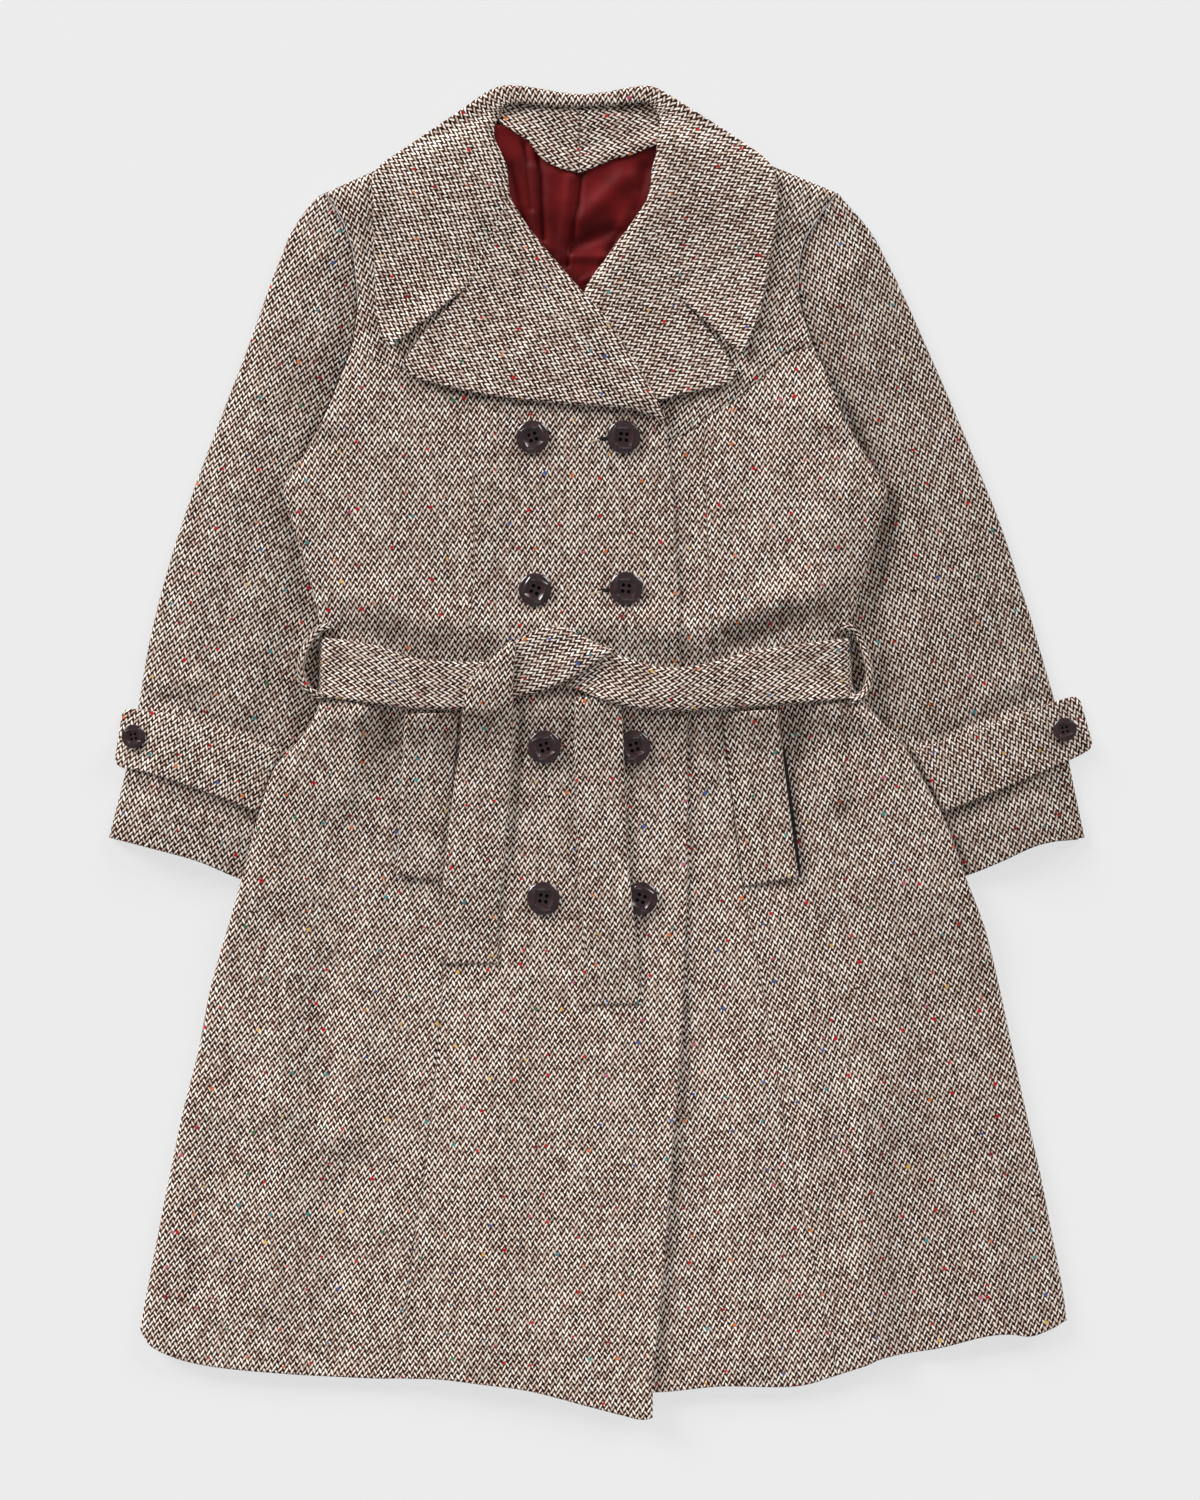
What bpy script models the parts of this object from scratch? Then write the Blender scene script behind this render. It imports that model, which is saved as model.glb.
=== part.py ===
"""A double-breasted tweed overcoat with a tie belt, laid flat on its back on a floor.

Tables are in millimetres. +X is the wearer's left, +Y runs from the hem to the collar and +Z is up.
The origin is on the floor, at the middle of the coat.
"""

import math

import bmesh
import bpy
import numpy as np
from mathutils import Vector
from mathutils.bvhtree import BVHTree

MM = 0.001
CLOTH = 2.6  # tweed with its interlining and lining
DOUBLE = 3.6  # two tweed layers turned on each other: collar, lapels, belt, tabs
FACING = 1.8
SATIN = 0.8
SEAM = 0.3  # clear gap wherever two pieces meet
LOFT = 2.6  # room left between a front and the back that it lies on
ROLL = 24.0  # width over which a folded side edge rounds down
WRAP = 3.6  # width of the fold that turns round a side edge
INSET = 4.2  # how far the lower layer stays inside that fold
SLEEVE_TOP = 2 * CLOTH + LOFT + SEAM + 1.0  # highest sleeve under the body
TUCK = 85.0  # width of the slope that climbs over a sleeve tucked under the body
OVERLAP_STEP = 24.0  # width of the slope where one front climbs over the other
BUTTON = {"radius": 14.2, "height": 4.6, "well": 9.4, "dish": 1.7}
TAB_BUTTON = {"radius": 10.2, "height": 4.0, "well": 6.8, "dish": 1.4}
BUTTON_SIDES = 14

# Sections of the body: height up the coat, wearer's right edge, wearer's left edge
SIDES = np.array([
    (480, -238, 203), (458, -224, 186), (435, -215, 173), (407, -211, 169), (379, -210, 172),
    (347, -215, 183), (314, -227, 197), (282, -240, 209), (250, -258, 229), (224, -274, 246),
    (198, -266, 240), (164, -256, 230), (129, -246, 220), (95, -241, 212), (61, -240, 214),
    (33, -245, 233), (9, -260, 256), (-17, -282, 272), (-60, -296, 295), (-109, -309, 313),
    (-154, -322, 330), (-206, -337, 343), (-258, -347, 354), (-309, -360, 365), (-361, -371, 377),
    (-412, -381, 387), (-464, -391, 397), (-498, -397, 401),
], float)
ARMHOLE_ROWS = 6  # rows of SIDES from the shoulder point to the yoke seam

# Lines down the fronts: height, right princess seam, over-front edge, under-front edge, left princess seam
LINES = np.array([
    (301, -115, 49, -87, 87), (233, -110, 59, -105, 89), (190, -109, 63, -106, 91),
    (129, -111, 66, -106, 93), (75, -117, 68, -107, 98), (33, -122, 73, -108, 104),
    (-11, -126, 74, -108, 109), (-111, -136, 74, -109, 121), (-180, -136, 71, -109, 134),
    (-258, -141, 68, -110, 148), (-344, -150, 61, -111, 162), (-430, -162, 55, -111, 181),
    (-541, -175, 44, -113, 204),
], float)

# Corners and edges in plan: x, y
HEM_SIDE_RIGHT = [
    (-397, -498), (-391, -509), (-380, -517), (-355, -526), (-319, -532), (-259, -537), (-175, -540),
]
HEM_FRONT_RIGHT = [(-175, -540), (-139, -541), (-104, -545), (-61, -551), (-15, -563), (32, -576), (40, -572)]
HEM_FRONT_LEFT = [(-113, -538), (-36, -547), (42, -552), (102, -547), (166, -547), (204, -537)]
HEM_SIDE_LEFT = [
    (204, -537), (227, -529), (244, -522), (291, -514), (330, -504), (351, -502), (369, -504), (401, -490),
]
YOKE_SIDE_RIGHT = [(-215, 347), (-197, 336), (-173, 328), (-139, 319), (-115, 313)]
YOKE_FRONT_RIGHT = [(-115, 313), (-70, 308), (-27, 303), (16, 300), (47, 295)]
YOKE_SIDE_LEFT = [(88, 283), (112, 299), (134, 316), (147, 330), (162, 342), (183, 347)]
YOKE_FRONT_LEFT = [(-100, 267), (-53, 263), (16, 263), (68, 270), (88, 283)]
NECK_RIGHT = [(-90, 541), (-92, 529), (-80, 499), (-77, 473), (-59, 445), (-17, 395), (22, 338), (47, 295)]
NECK_LEFT = [(50, 538), (49, 516), (44, 499), (39, 473), (7, 428), (-15, 394), (-49, 344), (-100, 267)]
BACK_NECK = [(-92, 535), (-19, 547), (52, 532)]
BACK_HEM = [(-376, -511), (-319, -528), (-175, -536), (0, -545), (166, -541), (244, -517), (330, -500)]
NECK_SETBACK = 8.0  # how far the fronts stop short of the roll that hides their edge
GORGE_RIGHT = [(-78, 475), (-117, 395)]
GORGE_LEFT = [(39, 473), (57, 396)]
LAPEL_TIP_RIGHT = (-171, 332)
LAPEL_TIP_LEFT = (117, 326)
LAPEL_LOW_RIGHT = [(-171, 332), (-159, 321), (-136, 314), (-113, 307), (-55, 299), (16, 294), (50, 289)]
LAPEL_LOW_LEFT = [(50, 300), (76, 307), (108, 314), (117, 326)]
ROLL_RIGHT = [(-78, 475), (-77, 473), (-59, 445), (-17, 395), (1, 373), (22, 338), (42, 310), (50, 289)]
ROLL_LEFT = [(39, 473), (26, 454), (7, 428), (-14, 395), (3, 374), (24, 340), (44, 312), (50, 300)]
FACING_LOW = [
    (-90, 543), (-79, 534), (-63, 523), (-53, 510), (-38, 501), (-19, 496), (10, 508), (27, 512), (48, 521),
]
FACING_TOP = [(-86, 556), (-19, 556), (46, 556)]
LINING_TOP = [(-96, 541), (-63, 528), (-38, 507), (-19, 502), (10, 513), (27, 518), (54, 527)]

# Collar sections from the right notch round the neck to the left one: roll x, y, outer edge x, y, bow
COLLAR = np.array([
    (-78, 475, -181, 345, 19), (-80, 488, -191, 362, 10), (-81, 501, -194, 400, 4), (-86, 514, -196, 439, 0),
    (-92, 527, -196, 469, 0), (-91, 538, -194, 498, 0), (-87, 547, -161, 524, 0), (-83, 553, -126, 548, 0),
    (-75, 556, -93, 570, 0), (-57, 555, -70, 572, 0), (-36, 553, -43, 568, 0), (-19, 553, -19, 565, 0),
    (-1, 554, 4, 567, 0), (20, 555, 26, 571, 0), (36, 557, 46, 571, 0), (43, 554, 76, 553, 0),
    (49, 547, 115, 528, 0), (50, 535, 144, 505, 0), (48, 522, 151, 478, 0), (46, 510, 148, 443, 0),
    (43, 498, 142, 407, -5), (42, 485, 133, 369, -12), (39, 473, 119, 338, -24),
], float)
COLLAR_FOLD = slice(6, 17)  # sections whose outer edge is the fold that turns under the back neck
FALL_LOW = 478.0  # lower edge of the fall that lies under the back
ROLL_CROWN = 3.2

# Sleeve sections: outer edge x, y, height of the inner edge, and how far that edge is tucked under the body
SLEEVE_RIGHT = np.array([
    (-238, 480, 347, -0.5), (-248, 473, 340, -0.6), (-266, 448, 318, -0.8), (-277, 422, 300, -0.8),
    (-287, 396, 284, -0.8), (-307, 340, 257, 12), (-326, 291, 224, 34), (-345, 241, 185, 29),
    (-363, 190, 155, 17), (-378, 140, 126, 7), (-384, 116, 106, -5), (-389, 95, 84, -7),
    (-398, 43, 38, -6), (-403, 14, 12, 8), (-407, -8, -17, 21), (-417, -47, -68, 26), (-424, -75, -115, 27),
], float)
SLEEVE_LEFT = np.array([
    (203, 480, 347, -0.5), (211, 471, 340, -0.6), (232, 446, 318, -0.8), (245, 422, 300, -0.8),
    (258, 396, 284, -0.8), (279, 349, 257, 12), (300, 301, 224, 34), (325, 241, 185, 29),
    (345, 190, 155, 17), (361, 140, 126, 7), (369, 116, 106, -5), (375, 95, 84, -7),
    (390, 43, 38, -6), (397, 14, 12, 8), (402, -8, -17, 21), (410, -47, -68, 26), (416, -75, -113, 27),
], float)
CUFF_RIGHT = [(-424, -75), (-380, -86), (-345, -96), (-309, -111), (-283, -115)]
CUFF_LEFT = [(416, -75), (377, -81), (343, -96), (313, -108), (288, -113)]
# How much of a tucked sleeve's thickness lifts the body: height, share
TUCKED = np.array([(-205, 0), (-122, 1), (30, 1), (54, 0.1), (95, 0.1), (128, 1), (284, 1), (347, 0)], float)

# Belt stretches: station, then the two edges at it. Bands run along x, tails down y
BELT_BACK = np.array([(-239, 97, 46), (-120, 95, 46), (-14, 94, 46), (110, 95, 46), (211, 96, 45)], float)
BELT_RIGHT = np.array([
    (-241, 98, 46), (-216, 94, 43), (-190, 89, 39), (-154, 78, 35), (-116, 76, 35), (-87, 76, 36),
], float)
BELT_LEFT = np.array([
    (213, 97, 45), (168, 91, 40), (125, 85, 37), (96, 76, 35),
    (65, 72, 34), (39, 76, 34), (13, 83, 37), (-12, 88, 44),
], float)
BELT_WRAP = np.array([
    (-78, 92, 43), (-61, 104, 47), (-39, 107, 55), (-18, 102, 67), (-1, 93, 77), (11, 87, 83),
], float)
TAIL_LONG = np.array([
    (93, -80, -74), (82, -92, -74), (68, -108, -75), (50, -116, -76), (32, -119, -76),
    (-2, -122, -77), (-54, -130, -80), (-111, -136, -86), (-147, -138, -88), (-183, -139, -89),
], float)
TAIL_SHORT = np.array([
    (46, -23, 17), (33, -23, 18), (15, -23, 18), (-9, -23, 19), (-34, -22, 21), (-60, -21, 22),
    (-86, -20, 23), (-110, -19, 24), (-127, -18, 26), (-145, -16, 28), (-172, -14, 31), (-218, -10, 34),
], float)
LOOP_WIDTH = 5.5
LOOP_RIGHT = [(-233, 107), (-248, 101), (-255, 86), (-258, 71), (-256, 59), (-249, 50), (-238, 44)]
LOOP_LEFT = [(206, 107), (218, 101), (225, 88), (228, 71), (227, 58), (220, 49), (210, 42)]
# Tabs and welts: upper or inner edge, then lower or outer edge
TAB_RIGHT = (
    [(-412, 37), (-371, 31), (-319, 13), (-278, 1)],
    [(-420, -13), (-384, -21), (-345, -34), (-295, -53)],
)
TAB_LEFT = (
    [(411, 48), (390, 42), (343, 25), (270, 0)],
    [(424, 2), (399, -10), (343, -34), (294, -53)],
)
WELT_RIGHT = ([(-122, 33), (-129, -43), (-136, -113)], [(-169, 31), (-172, -43), (-176, -107)])
WELT_LEFT = ([(104, 33), (113, -43), (122, -117)], [(151, 35), (157, -15), (169, -109)])

# Buttons: x, y
BUTTONS = [(-59, 269), (19, 269), (-57, 138), (21, 139), (-49, 3), (28, 3), (-50, -127), (34, -127)]
TAB_BUTTONS = {"tab_button_right": (-402, 12), "tab_button_left": (398, 18)}

# Largest folds of the fronts: from x, y, to x, y, half width, height
FRONT_FOLDS = [
    (-232, 122, -140, 112, 16, 2.4), (105, 112, 200, 122, 16, 2.4), (125, 104, 185, 104, 9, -1.2),
    (-200, 26, -212, -30, 9, 2.6), (-176, 26, -182, -20, 8, -1.4), (-150, 24, -154, -20, 8, 2.2),
    (92, 24, 98, -16, 8, 2.0), (128, 26, 136, -10, 8, -1.2), (168, 30, 180, -20, 9, 2.4),
    (196, 44, 208, -20, 9, 3.2), (-246, -215, -250, -292, 18, -1.4), (-270, -260, -335, -480, 26, 2.2),
    (-290, -335, -300, -420, 16, -1.4), (228, -330, 238, -528, 20, 3.4), (262, -380, 268, -510, 16, -1.4),
    (334, -400, 342, -505, 20, 2.8), (205, -120, 250, -330, 24, 1.6),
]
SLEEVE_FOLDS = [
    (-236, 430, -238, 330, 9, 2.2), (-300, 300, -290, 210, 16, 1.2), (-300, 190, -330, 40, 22, -1.0),
    (222, 420, 262, 320, 12, 1.8), (226, 120, 272, 14, 8, -1.2), (300, 250, 330, 120, 20, 1.2),
]

built = {}


def ramp(value):
    """A soft step from 0 to 1."""
    share = np.clip(value, 0.0, 1.0)
    return share * share * (3 - 2 * share)


def smooth(table, column, where):
    """A column of a table read at a height, along a cubic through its rows."""
    order = np.argsort(table[:, 0])
    stations, values = table[order, 0], table[order, column]
    slopes = np.gradient(values, stations)
    row = np.clip(np.searchsorted(stations, where) - 1, 0, len(stations) - 2)
    span = stations[row + 1] - stations[row]
    t = np.clip((where - stations[row]) / span, 0.0, 1.0)
    start, end = values[row], values[row + 1]
    bend = slopes[row] * span * t * (1 - t) ** 2 - slopes[row + 1] * span * t * t * (1 - t)
    return start + (end - start) * t * t * (3 - 2 * t) + bend


def straight(table, column, where):
    """A column of a table read at a height, along straight lines between its rows."""
    order = np.argsort(table[:, 0])
    return np.interp(where, table[order, 0], table[order, column])


def walk(points, shares):
    """Points at given shares of a polyline's length."""
    points = np.asarray(points, float)
    lengths = np.concatenate([[0], np.cumsum(np.linalg.norm(np.diff(points, axis=0), axis=1))])
    at = np.asarray(shares) * lengths[-1]
    return np.column_stack([np.interp(at, lengths, points[:, 0]), np.interp(at, lengths, points[:, 1])])


def patch(left, right, top, bottom, columns):
    """A plan grid that fills four edges. columns gives each row's stations as shares of its width."""
    left, right = np.asarray(left, float), np.asarray(right, float)
    middle = (left + right) / 2
    run = np.concatenate([[0], np.cumsum(np.linalg.norm(np.diff(middle, axis=0), axis=1))])
    rows = []
    for a, b, v in zip(left, right, run / run[-1]):
        u = columns(np.linalg.norm(b - a))
        upper, lower = walk(top, u), walk(bottom, u)
        u = u[:, None]
        corners = (1 - v) * ((1 - u) * left[0] + u * right[0]) + v * ((1 - u) * left[-1] + u * right[-1])
        rows.append((1 - v) * upper + v * lower + (1 - u) * a + u * b - corners)
    return np.array(rows)


def even(count):
    return lambda width: np.linspace(0, 1, count + 1)


def edged(count, near, far):
    """Columns with close stations at the start, the end or both, where the cloth rounds over a fold."""
    close = np.array([0.0, WRAP, 13.0, 28.0])

    def columns(width):
        starts = close / width if near else np.array([0.0])
        ends = 1 - close[::-1] / width if far else np.array([1.0])
        inner = np.linspace(starts[-1], ends[0], count + 1)
        return np.concatenate([starts[:-1], inner, ends[1:]])

    return columns


def ruled(one, other, cells):
    """A plan grid straight across between two edges with as many points each."""
    share = np.linspace(0, 1, cells + 1)[None, :, None]
    return np.asarray(one, float)[:, None] * (1 - share) + np.asarray(other, float)[:, None] * share


def fold_heights(folds, x, y):
    """Soft ridges and troughs along straight lines."""
    total = np.zeros_like(x)
    for x0, y0, x1, y1, half, height in folds:
        along = np.array([x1 - x0, y1 - y0], float)
        t = np.clip(((x - x0) * along[0] + (y - y0) * along[1]) / (along @ along), 0, 1)
        away = np.hypot(x - x0 - t * along[0], y - y0 - t * along[1])
        total += height * np.exp(-((away / half) ** 2))
    return total


def rounded(inward):
    """Height that a fold leaves free under the upper layer, this far inside its edge."""
    return LOFT * np.sqrt(1 - (1 - np.clip(inward / ROLL, 0, 1)) ** 2)


def tucked_edge(table, edge_column, sign, y):
    """Where a sleeve's inner edge runs under the body."""
    order = np.argsort(table[:, 2])
    hidden = np.interp(y, table[order, 2], table[order, 3])
    return straight(SIDES, edge_column, y) + sign * hidden


def lift(x, y):
    """Height of the back's underside: over the tucked sleeves, the belt and the folded collar."""
    share = straight(TUCKED, 1, y)
    right = ramp((tucked_edge(SLEEVE_RIGHT, 1, 1, y) + TUCK - x) / TUCK)
    left = ramp((x - tucked_edge(SLEEVE_LEFT, 2, -1, y) + TUCK) / TUCK)
    belt = (DOUBLE + SEAM) * ramp((62 - np.abs(y - 71)) / 32)
    fall = (DOUBLE + SEAM) * ramp((y - FALL_LOW + 40) / 36) * ramp((214 - np.abs(x + 19)) / 40)
    return (SLEEVE_TOP + SEAM) * share * np.maximum(right, left) + belt + fall


def from_line(x, y, start, end):
    """Distance below the line from start to end."""
    run = np.subtract(end, start).astype(float)
    return np.abs((x - start[0]) * run[1] - (y - start[1]) * run[0]) / np.hypot(*run)


def inward(x, y):
    """Distance inside the nearest side or shoulder edge."""
    sides = np.minimum(x - straight(SIDES, 1, y), straight(SIDES, 2, y) - x)
    right = from_line(x, y, (-238, 480), NECK_RIGHT[0])
    left = from_line(x, y, (203, 480), NECK_LEFT[0])
    shoulders = np.where(x < -19, right, left)
    return np.maximum(np.minimum(sides, shoulders), 0.0)


def front_low(plan, over):
    """Underside of a front panel; the fold at its side edge turns down round the back."""
    x, y = plan[..., 0], plan[..., 1]
    away = inward(x, y)
    low = lift(x, y) + CLOTH + SEAM + rounded(away) + fold_heights(FRONT_FOLDS, x, y) * ramp(away / ROLL)
    if over:
        hidden = np.where(y > 301, np.interp(y, [267, 344, 394, 428, 473], [-100, -49, -15, 7, 39]),
                          smooth(LINES, 3, y))
        low += (CLOTH + SEAM) * ramp((x - hidden + OVERLAP_STEP + 2) / OVERLAP_STEP)
    return np.where(away < 0.6, lift(x, y), low)


def ground(x, y, below):
    """Top of the pieces below a point. The bare floor needs no seam gap."""
    best = -SEAM
    for name in below:
        hit = built[name].ray_cast(Vector((x * MM, y * MM, 1.0)), Vector((0, 0, -1)))[0]
        if hit is not None:
            best = max(best, hit.z / MM)
    return best


def clear(plan, low, below, rounds=4):
    """Raises an underside wherever the pieces below it come within the seam gap."""
    order = 9
    pairs = [(a / order, b / order) for a in range(order + 1) for b in range(order + 1 - a)]
    weights = np.array([(a, b, 1 - a - b) for a, b in pairs])
    low = low.copy()
    rows, columns = low.shape
    for _ in range(rounds):
        moved = False
        for i in range(rows - 1):
            for j in range(columns - 1):
                for corners in (((i, j), (i + 1, j), (i + 1, j + 1)), ((i, j), (i + 1, j + 1), (i, j + 1))):
                    points = np.array([(*plan[c], low[c]) for c in corners])
                    short = max(ground(p[0], p[1], below) + SEAM - p[2] for p in weights @ points)
                    if short > 0.01:
                        moved = True
                        for c in corners:
                            low[c] += short
        if not moved:
            break
    return low


def laid(plan, below, rounds=12, least=0.0):
    """Underside of a piece that lies on others: draped over them, then cleared."""
    reach = 3.0
    floor = np.zeros(plan.shape[:2])
    for i, j in np.ndindex(floor.shape):
        x, y = plan[i, j]
        around = [(0, 0), (reach, 0), (-reach, 0), (0, reach), (0, -reach)]
        floor[i, j] = max(ground(x + dx, y + dy, below) for dx, dy in around) + SEAM
    floor = np.maximum(floor, least)
    low = floor.copy()
    for _ in range(rounds):
        padded = np.pad(low, 1, mode="edge")
        mean = (padded[:-2, 1:-1] + padded[2:, 1:-1] + padded[1:-1, :-2] + padded[1:-1, 2:]) / 4
        low = np.maximum(floor, (low + mean) / 2)
    return clear(plan, low, below)


def finish(name, mesh, material):
    """Turns a bmesh into a named piece of the coat and keeps it for what lies on it."""
    bmesh.ops.triangulate(mesh, faces=[f for f in mesh.faces if len(f.verts) > 3])
    bmesh.ops.recalc_face_normals(mesh, faces=mesh.faces)
    built[name] = BVHTree.FromBMesh(mesh)
    data = bpy.data.meshes.new(name)
    mesh.to_mesh(data)
    mesh.free()
    data.materials.append(material)
    data.shade_smooth()
    data.set_sharp_from_angle(angle=math.radians(40))
    piece = bpy.data.objects.new(name, data)
    bpy.context.scene.collection.objects.link(piece)
    piece.parent = coat
    return piece


def wall(name, plan, low, thickness, material):
    """A cloth wall over a plan grid, from its underside up."""
    mesh = bmesh.new()
    rows, columns = low.shape
    layers = []
    for height in (low, low + thickness):
        points = np.dstack([plan, height]) * MM
        layers.append([[mesh.verts.new(points[i, j]) for j in range(columns)] for i in range(rows)])
    under, over = layers
    for i in range(rows - 1):
        for j in range(columns - 1):
            for layer in layers:
                a, b, c, d = layer[i][j], layer[i + 1][j], layer[i + 1][j + 1], layer[i][j + 1]
                mesh.faces.new((a, b, c))
                mesh.faces.new((a, c, d))
    rim = [(0, j) for j in range(columns)] + [(i, columns - 1) for i in range(1, rows)]
    rim += [(rows - 1, j) for j in range(columns - 2, -1, -1)] + [(i, 0) for i in range(rows - 2, 0, -1)]
    for (i, j), (k, l) in zip(rim, rim[1:] + rim[:1]):
        mesh.faces.new((under[i][j], under[k][l], over[k][l], over[i][j]))
    return finish(name, mesh, material)


def cloth_colour(name, colour, roughness):
    material = bpy.data.materials.new(name)
    material.use_nodes = True
    shader = material.node_tree.nodes["Principled BSDF"]
    shader.inputs["Base Color"].default_value = (*colour, 1)
    shader.inputs["Roughness"].default_value = roughness
    shader.inputs["Metallic"].default_value = 0
    return material


def shifted(points, dx=0.0, dy=0.0):
    return np.asarray(points, float) + (dx, dy)


def edge_rows(read, top, hem):
    """Points down an edge, one at each body section between the yoke seam and the hem."""
    levels = SIDES[ARMHOLE_ROWS - 1:, 0]
    share = (levels[0] - levels) / (levels[0] - levels[-1])
    y = top + share * (hem - top)
    return np.column_stack([read(y), y])


def sleeve(side, table, cuff, edge_column, sign):
    """A two-piece sleeve: the under sleeve on the floor and the top sleeve folded over its edges."""
    inner_y = table[:, 2]
    inner = np.column_stack([straight(SIDES, edge_column, inner_y) + sign * table[:, 3], inner_y])
    outer = table[:, :2].copy()
    cap = SIDES[:ARMHOLE_ROWS]
    armhole = np.column_stack([cap[:, edge_column] - sign * 0.5, cap[:, 0]])
    outer[0], inner[0] = armhole[0], armhole[-1]
    cuff = np.array([outer[-1], *cuff[1:-1], inner[-1]])
    upper = patch(outer, inner, armhole, cuff, edged(4, True, True))
    away = np.min([np.linalg.norm(upper - e, axis=2) for e in (upper[:, :1], upper[:, -1:], upper[:1])], axis=0)
    folds = fold_heights(SLEEVE_FOLDS, upper[..., 0], upper[..., 1]) * ramp(away / ROLL)
    low = CLOTH + SEAM + rounded(away) + folds
    low = np.minimum(np.where(away < 0.6, 0.0, low), SLEEVE_TOP - CLOTH)
    across = (inner - outer) / np.linalg.norm(inner - outer, axis=1)[:, None]
    under_outer, under_inner = (outer + across * INSET)[1:], (inner - across * INSET)[1:]
    under_cuff = np.array([under_outer[-1], *shifted(cuff[1:-1], dy=2.0), under_inner[-1]])
    under_top = np.array([under_outer[0], *upper[1, 2:-2], under_inner[0]])
    lower = patch(under_outer, under_inner, under_top, under_cuff, even(4))
    wall("under_sleeve_" + side, lower, np.zeros(lower.shape[:2]), CLOTH, tweed)
    wall("top_sleeve_" + side, upper, low, CLOTH, tweed)


def collar_fall():
    """The back of the collar, folded down between the back and the floor."""
    fold = COLLAR[COLLAR_FOLD, 2:4]
    middle = np.array([-19.0, 500.0])
    inset = fold + (middle - fold) / np.linalg.norm(middle - fold, axis=1)[:, None] * INSET
    low_x = np.linspace(-158, 112, len(fold))
    low_edge = np.column_stack([low_x, np.full(len(fold), FALL_LOW)])
    plan = ruled(inset, low_edge, 2)
    wall("collar_fall", plan, np.zeros(plan.shape[:2]), DOUBLE, tweed)


def belt_back():
    plan = ruled(BELT_BACK[:, [0, 1]], BELT_BACK[:, [0, 2]], 1)
    wall("belt_back", plan, np.zeros(plan.shape[:2]), DOUBLE, tweed)


def back():
    """The back panel, flat on the floor except where it climbs over the sleeves, belt and collar."""
    y = SIDES[:, 0]
    right = np.column_stack([SIDES[:, 1] + INSET, y])
    left = np.column_stack([SIDES[:, 2] - INSET, y])
    left[-1] = (397, -488)
    top = [right[0], *BACK_NECK, left[0]]
    hem = [right[-1], *BACK_HEM, left[-1]]
    plan = patch(right, left, top, hem, edged(8, True, True))
    low = lift(plan[..., 0], plan[..., 1])
    carried = ["top_sleeve_right", "top_sleeve_left", "collar_fall", "belt_back"]
    wall("back", plan, clear(plan, low, carried), CLOTH, tweed)


def lining():
    top = LINING_TOP
    bottom = [(-24, 372), (-7, 372)]
    right = [top[0], (-95, 512), (-86, 478), (-50, 420), bottom[0]]
    left = [top[-1], (53, 512), (47, 478), (17, 420), bottom[-1]]
    shares = np.linspace(0, 1, 9)
    plan = patch(walk(right, shares), walk(left, shares), top, bottom, even(6))
    wall("lining", plan, laid(plan, ["back", "collar_fall"], rounds=2), SATIN, satin)


def neck_facing():
    rows = np.linspace(0, 1, 4)
    right = walk([FACING_TOP[0], FACING_LOW[0]], rows)
    left = walk([FACING_TOP[-1], FACING_LOW[-1]], rows)
    plan = patch(right, left, FACING_TOP, FACING_LOW, even(10))
    wall("neck_facing", plan, laid(plan, ["back", "lining", "collar_fall"], rounds=4), FACING, tweed)


def front(side, over, below):
    """The yoke, side panel and centre panel of one front, 0.3 mm apart at their seams."""
    gap = SEAM / 2
    if side == "right":
        side_edge = edge_rows(lambda y: straight(SIDES, 1, y), 347, -498)
        seam = edge_rows(lambda y: smooth(LINES, 1, y), 313, -540)
        free = edge_rows(lambda y: smooth(LINES, 2, y), 295, -572)
        seam[0], seam[-1] = YOKE_SIDE_RIGHT[-1], HEM_SIDE_RIGHT[-1]
        free[0], free[-1] = YOKE_FRONT_RIGHT[-1], HEM_FRONT_RIGHT[-1]
        outer = patch(side_edge, shifted(seam, -gap), YOKE_SIDE_RIGHT, HEM_SIDE_RIGHT, edged(4, True, False))
        inner = patch(shifted(seam, gap), free, YOKE_FRONT_RIGHT, HEM_FRONT_RIGHT, even(6))
        seam_row = np.vstack([outer[0], inner[0]])
        arm = np.column_stack([SIDES[:ARMHOLE_ROWS, 1], SIDES[:ARMHOLE_ROWS, 0]])
        neck = shifted(NECK_RIGHT, -NECK_SETBACK)
        neck[-1] = seam_row[-1]
    else:
        side_edge = edge_rows(lambda y: straight(SIDES, 2, y), 347, -490)
        seam = edge_rows(lambda y: smooth(LINES, 4, y), 283, -537)
        free = edge_rows(lambda y: smooth(LINES, 3, y), 267, -538)
        seam[0], seam[-1] = YOKE_SIDE_LEFT[0], HEM_SIDE_LEFT[0]
        free[0], free[-1] = YOKE_FRONT_LEFT[0], HEM_FRONT_LEFT[0]
        outer = patch(shifted(seam, gap), side_edge, YOKE_SIDE_LEFT, HEM_SIDE_LEFT, edged(4, False, True))
        inner = patch(free, shifted(seam, -gap), YOKE_FRONT_LEFT, HEM_FRONT_LEFT, even(6))
        seam_row = np.vstack([inner[0], outer[0]])
        arm = np.column_stack([SIDES[:ARMHOLE_ROWS, 2], SIDES[:ARMHOLE_ROWS, 0]])
        neck = shifted(NECK_LEFT, NECK_SETBACK)
        neck[-1] = seam_row[0]
    for name, plan in (("side_" + side, outer), ("front_" + side, inner)):
        plan[0, :, 1] -= gap
        wall(name, plan, clear(plan, front_low(plan, over), below), CLOTH, tweed)
    rows = np.array([0.0, 0.028, 0.1, 0.22, 0.4, 0.6, 0.8, 1.0])
    seam_row = shifted(seam_row, dy=gap)
    arm[-1] = seam_row[0] if side == "right" else seam_row[-1]
    neck[-1] = seam_row[-1] if side == "right" else seam_row[0]
    edges = [walk(arm, rows), walk(neck, rows)]
    if side == "left":
        edges.reverse()
    lengths = np.concatenate([[0], np.cumsum(np.linalg.norm(np.diff(seam_row, axis=0), axis=1))])
    shares = lengths / lengths[-1]
    plan = patch(*edges, [edges[0][0], edges[1][0]], seam_row, lambda width: shares)
    wall("yoke_" + side, plan, clear(plan, front_low(plan, over), below), CLOTH, tweed)


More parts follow.
